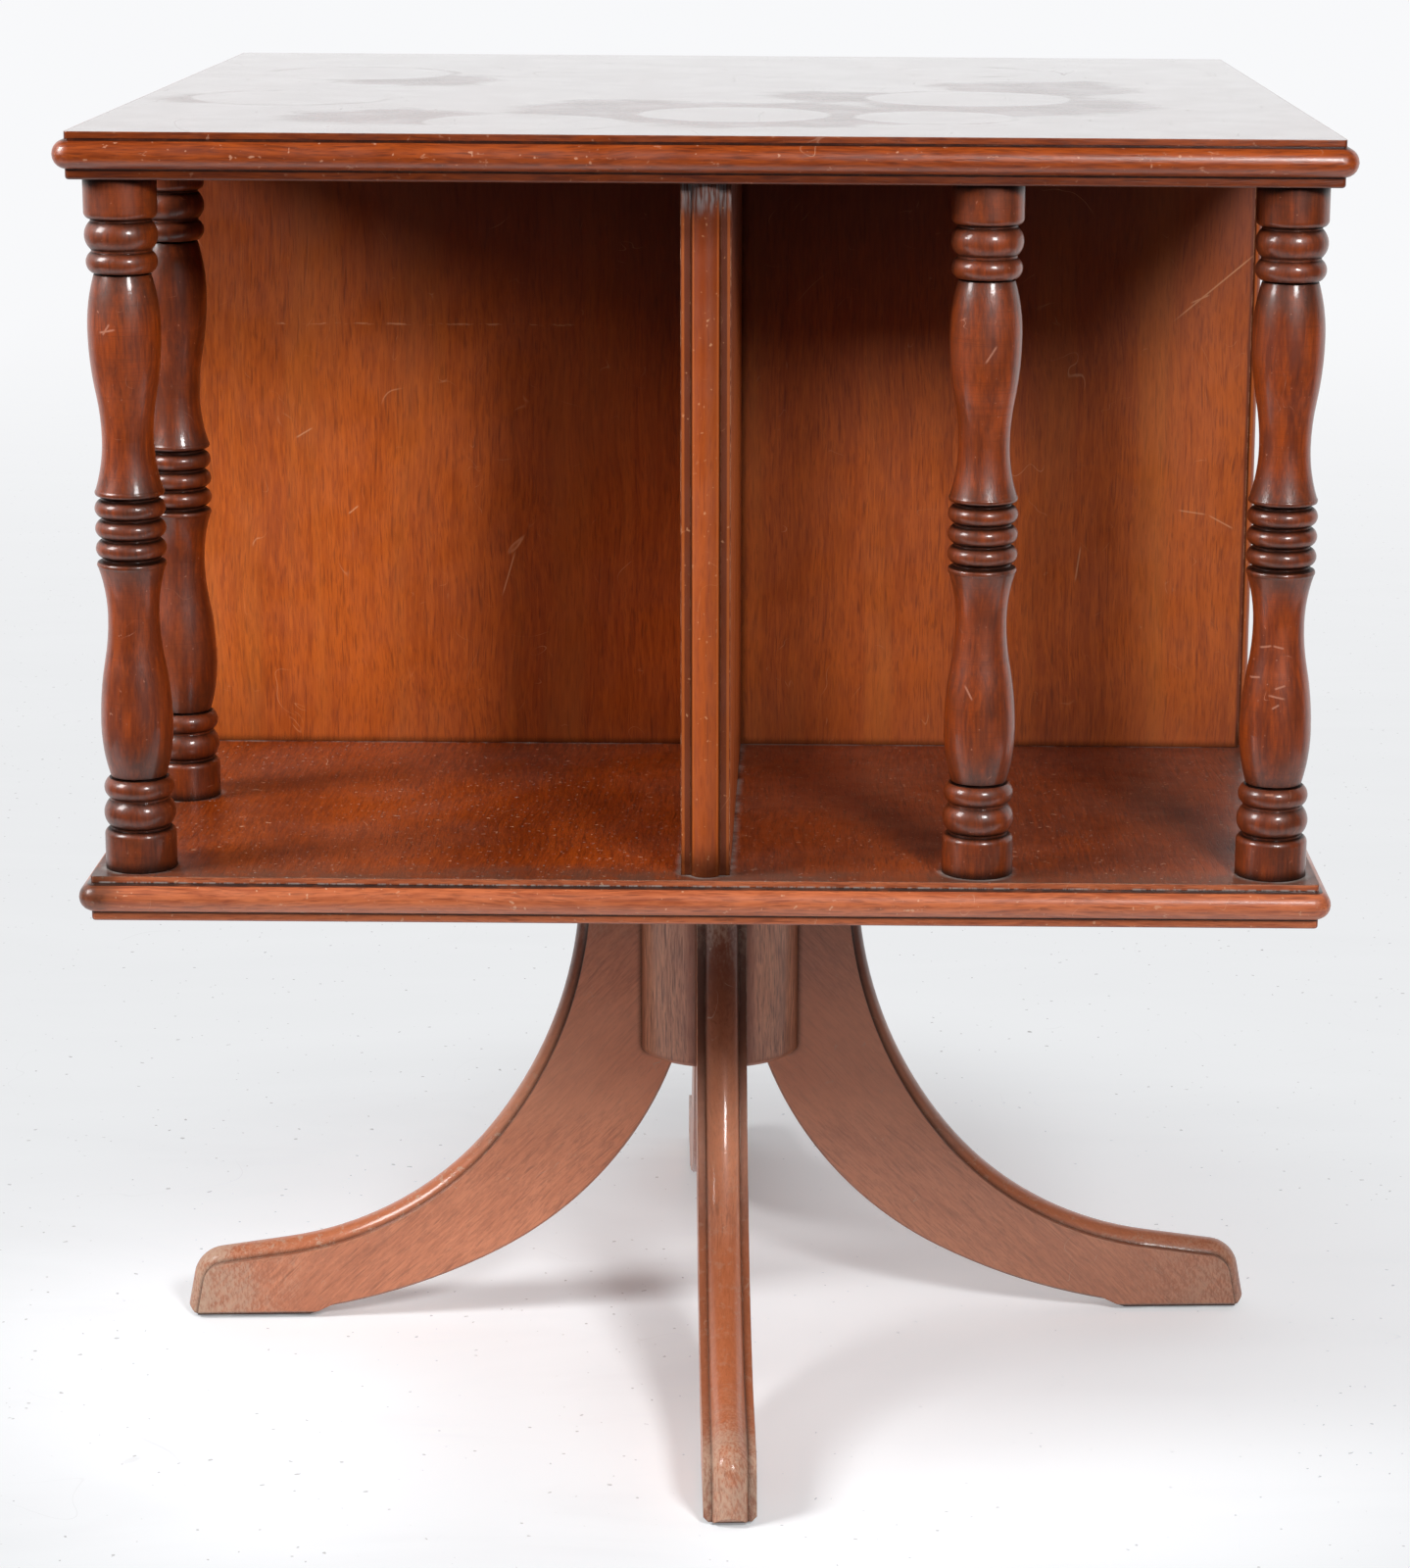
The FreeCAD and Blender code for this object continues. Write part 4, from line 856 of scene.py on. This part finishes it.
# Where the floor changes, each from the start of a change to its end: towards the front and
# the back, away from a line through the left of the base, across, and away from the base.
PAPER_UNLIT = (-0.50, -1.15)
GLOW_START = (-0.95, -0.45)
BEHIND_BASE = (-0.45, -0.25)
GLOW_LINE = -0.08
OFF_GLOW_LINE = (0.02, 0.16)
ACROSS_BASE = (-0.40, 0.40)
FAR_OFF = (0.23, 0.60)
VERY_FAR_OFF = (1.0, 5.0)
PAPER_MARGIN = (0.80, 1.30)

PAPER =(0.845, 0.87, 0.89)
SMUDGED_PAPER = (0.80, 0.82, 0.84)
UNLIT_PAPER = (0.05, 0.05, 0.052)
PAPER_GLOW = (0.9, 0.9, 0.92)
FAR_PAPER = (0.85, 0.86, 0.875)
FAR_SMUDGED_PAPER = (0.81, 0.82, 0.835)
GRIT = (0.22, 0.20, 0.19)


def make_world():
    """White behind the object, dark in front of it, as in a studio with a paper sweep."""
    world = bpy.data.worlds.new("studio")
    bpy.context.scene.world = world
    tree = Tree(world)
    _, y, z = tree.split(tree.node("TexCoord").outputs["Generated"])
    behind = tree.times(tree.ramp(y, *BEHIND), tree.ramp(z, *LOW_DOWN))
    shade = tree.mix(behind, DARK_ROOM, SWEEP)
    seen = tree.node("LightPath").outputs["Is Camera Ray"]
    tree.feed(tree.tree.nodes["Background"].inputs["Color"],
              tree.mix(seen, shade, BACKDROP))


def make_softbox(name, azimuth, elevation, size, power):
    """An oblong lamp at an azimuth from the front towards the right, aimed at the case."""
    turn, rise = math.radians(azimuth), math.radians(elevation)
    way = Vector((math.sin(turn) * math.cos(rise), -math.cos(turn) * math.cos(rise),
                  math.sin(rise)))
    data = bpy.data.lights.new(name, "AREA")
    data.shape = "RECTANGLE"
    data.size, data.size_y = size
    data.energy = power
    lamp = bpy.data.objects.new(name, data)
    lamp.location = LAMP_TARGET + way * LAMP_DISTANCE
    lamp.rotation_euler = way.to_track_quat("Z", "Y").to_euler()
    bpy.context.scene.collection.objects.link(lamp)


def add_floor_sheet():
    """A flat sheet, reaching far behind the object."""
    mesh = bpy.data.meshes.new("floor")
    mesh.from_pydata([(-FLOOR_SIDE, FLOOR_FRONT, 0), (FLOOR_SIDE, FLOOR_FRONT, 0),
                      (FLOOR_SIDE, FLOOR_BACK, 0), (-FLOOR_SIDE, FLOOR_BACK, 0)],
                     [], [(0, 1, 2, 3)])
    floor = bpy.data.objects.new("floor", mesh)
    bpy.context.scene.collection.objects.link(floor)
    return floor


def make_paper():
    """Pale paper: lit and shaded near the object, plain white far off, dark in front."""
    finish = Finish("paper")
    smudge = finish.noise(finish.place, (3, 9, 1), 4, 0.6, 0.8)
    grit = finish.most(flecks(finish, 190, 0.735, 0.775, 0.55),
                       scratches(finish, 5, 0.0012, 0.14, (0.55, 0.62)))
    seen = finish.node("LightPath").outputs
    looked_at = finish.most(seen["Is Camera Ray"], seen["Is Glossy Ray"])
    paper = finish.mix(finish.ramp(smudge, 0.40, 0.72), PAPER, SMUDGED_PAPER)
    paper = finish.mix(finish.ramp(finish.y, *PAPER_UNLIT), paper, UNLIT_PAPER)
    paper = finish.mix(grit, paper, GRIT)
    # Painted light: seen by the camera and in reflections the paper glows, less along a line
    # through the left of the base and more towards the right, lightening the object's shadows
    # there.
    off_line = finish.size(finish.add(finish.x, -GLOW_LINE))
    glow = finish.times(looked_at, finish.ramp(finish.y, *GLOW_START),
                        finish.ramp(off_line, *OFF_GLOW_LINE, 0.12, 0.28),
                        finish.ramp(finish.x, *ACROSS_BASE, 0.78, 1.20))
    finish.set(Base_Color=paper, Roughness=0.7, Specular_IOR_Level=0.1,
               Emission_Color=PAPER_GLOW, Emission_Strength=glow)
    reach = finish.reach()
    tone = finish.mix(smudge, FAR_PAPER, FAR_SMUDGED_PAPER)
    tone = finish.mix(grit, tone, GRIT)
    margin = finish.most(finish.size(finish.x), finish.times(finish.y, -1.0))
    margin = finish.ramp(margin, *PAPER_MARGIN)
    tone = finish.mix(finish.most(finish.ramp(reach, *VERY_FAR_OFF), margin), tone, BACKDROP)
    plain = finish.node("Emission", sockets={"Color": tone, "Strength": 1.0})
    far = finish.ramp(reach, *FAR_OFF)
    behind = finish.ramp(finish.y, *BEHIND_BASE)
    share = finish.times(far, looked_at, finish.most(behind, seen["Is Camera Ray"]))
    mixer = finish.node("MixShader")
    for index, value in enumerate((share, finish.surface.outputs[0], plain.outputs[0])):
        finish.feed(mixer.inputs[index], value)
    finish.feed(finish.tree.nodes["Material Output"].inputs["Surface"], mixer.outputs[0])
    return finish.material


def make_studio():
    make_world()
    make_softbox("softbox_left", azimuth=-63.6, elevation=30.9, size=(0.605, 0.759), power=35.5)
    make_softbox("softbox_right", azimuth=22.6, elevation=26.0, size=(0.385, 0.381), power=26.0)
    floor = add_floor_sheet()
    floor.data.materials.append(make_paper())
    bpy.context.scene.view_settings.view_transform = "Standard"


# ---------------------------------------------------------------- the whole picture

def named(part):
    """The CAD nodes with this text in their names."""
    return [name for name in nodes if part in name]


def dress():
    """Give every CAD node its finish."""
    paint(["centre_panel", "front_divider", "rear_divider"], make_panel_wood())
    paint(["top_board"], make_top_wood())
    paint(["bottom_board"], make_bottom_wood())
    paint(named("corner_spindle"), make_spindle_wood("corner_spindle_wood", CORNER_TARNISH))
    paint(named("middle_spindle"), make_spindle_wood("middle_spindle_wood", MIDDLE_TARNISH))
    paint(["column"], make_column_wood())
    for name, leg in LEGS.items():
        paint([name], make_leg_wood(name + "_wood", leg))
    paint(named("dowel"),
          make_plain("beech", light=(0.58, 0.40, 0.22), dark=(0.46, 0.30, 0.15),
                     scale=300, metallic=0.0, roughness=0.6))
    paint(named("glides"),
          make_plain("nylon", light=(0.72, 0.71, 0.66), dark=(0.50, 0.48, 0.43),
                     scale=220, metallic=0.0, roughness=0.5))
    paint(named("plate") + ["pivot_pin"],
          make_plain("zinc", light=(0.62, 0.62, 0.63), dark=(0.44, 0.44, 0.46),
                     scale=90, metallic=1.0, roughness=0.38))
    paint(["pivot_bush"],
          make_plain("brass", light=(0.72, 0.52, 0.24), dark=(0.56, 0.38, 0.16),
                     scale=120, metallic=1.0, roughness=0.3))
    paint(["thrust_ring"],
          make_plain("fibre", light=(0.17, 0.08, 0.05), dark=(0.11, 0.05, 0.035),
                     scale=260, metallic=0.0, roughness=0.5))


make_camera()
make_studio()
dress()
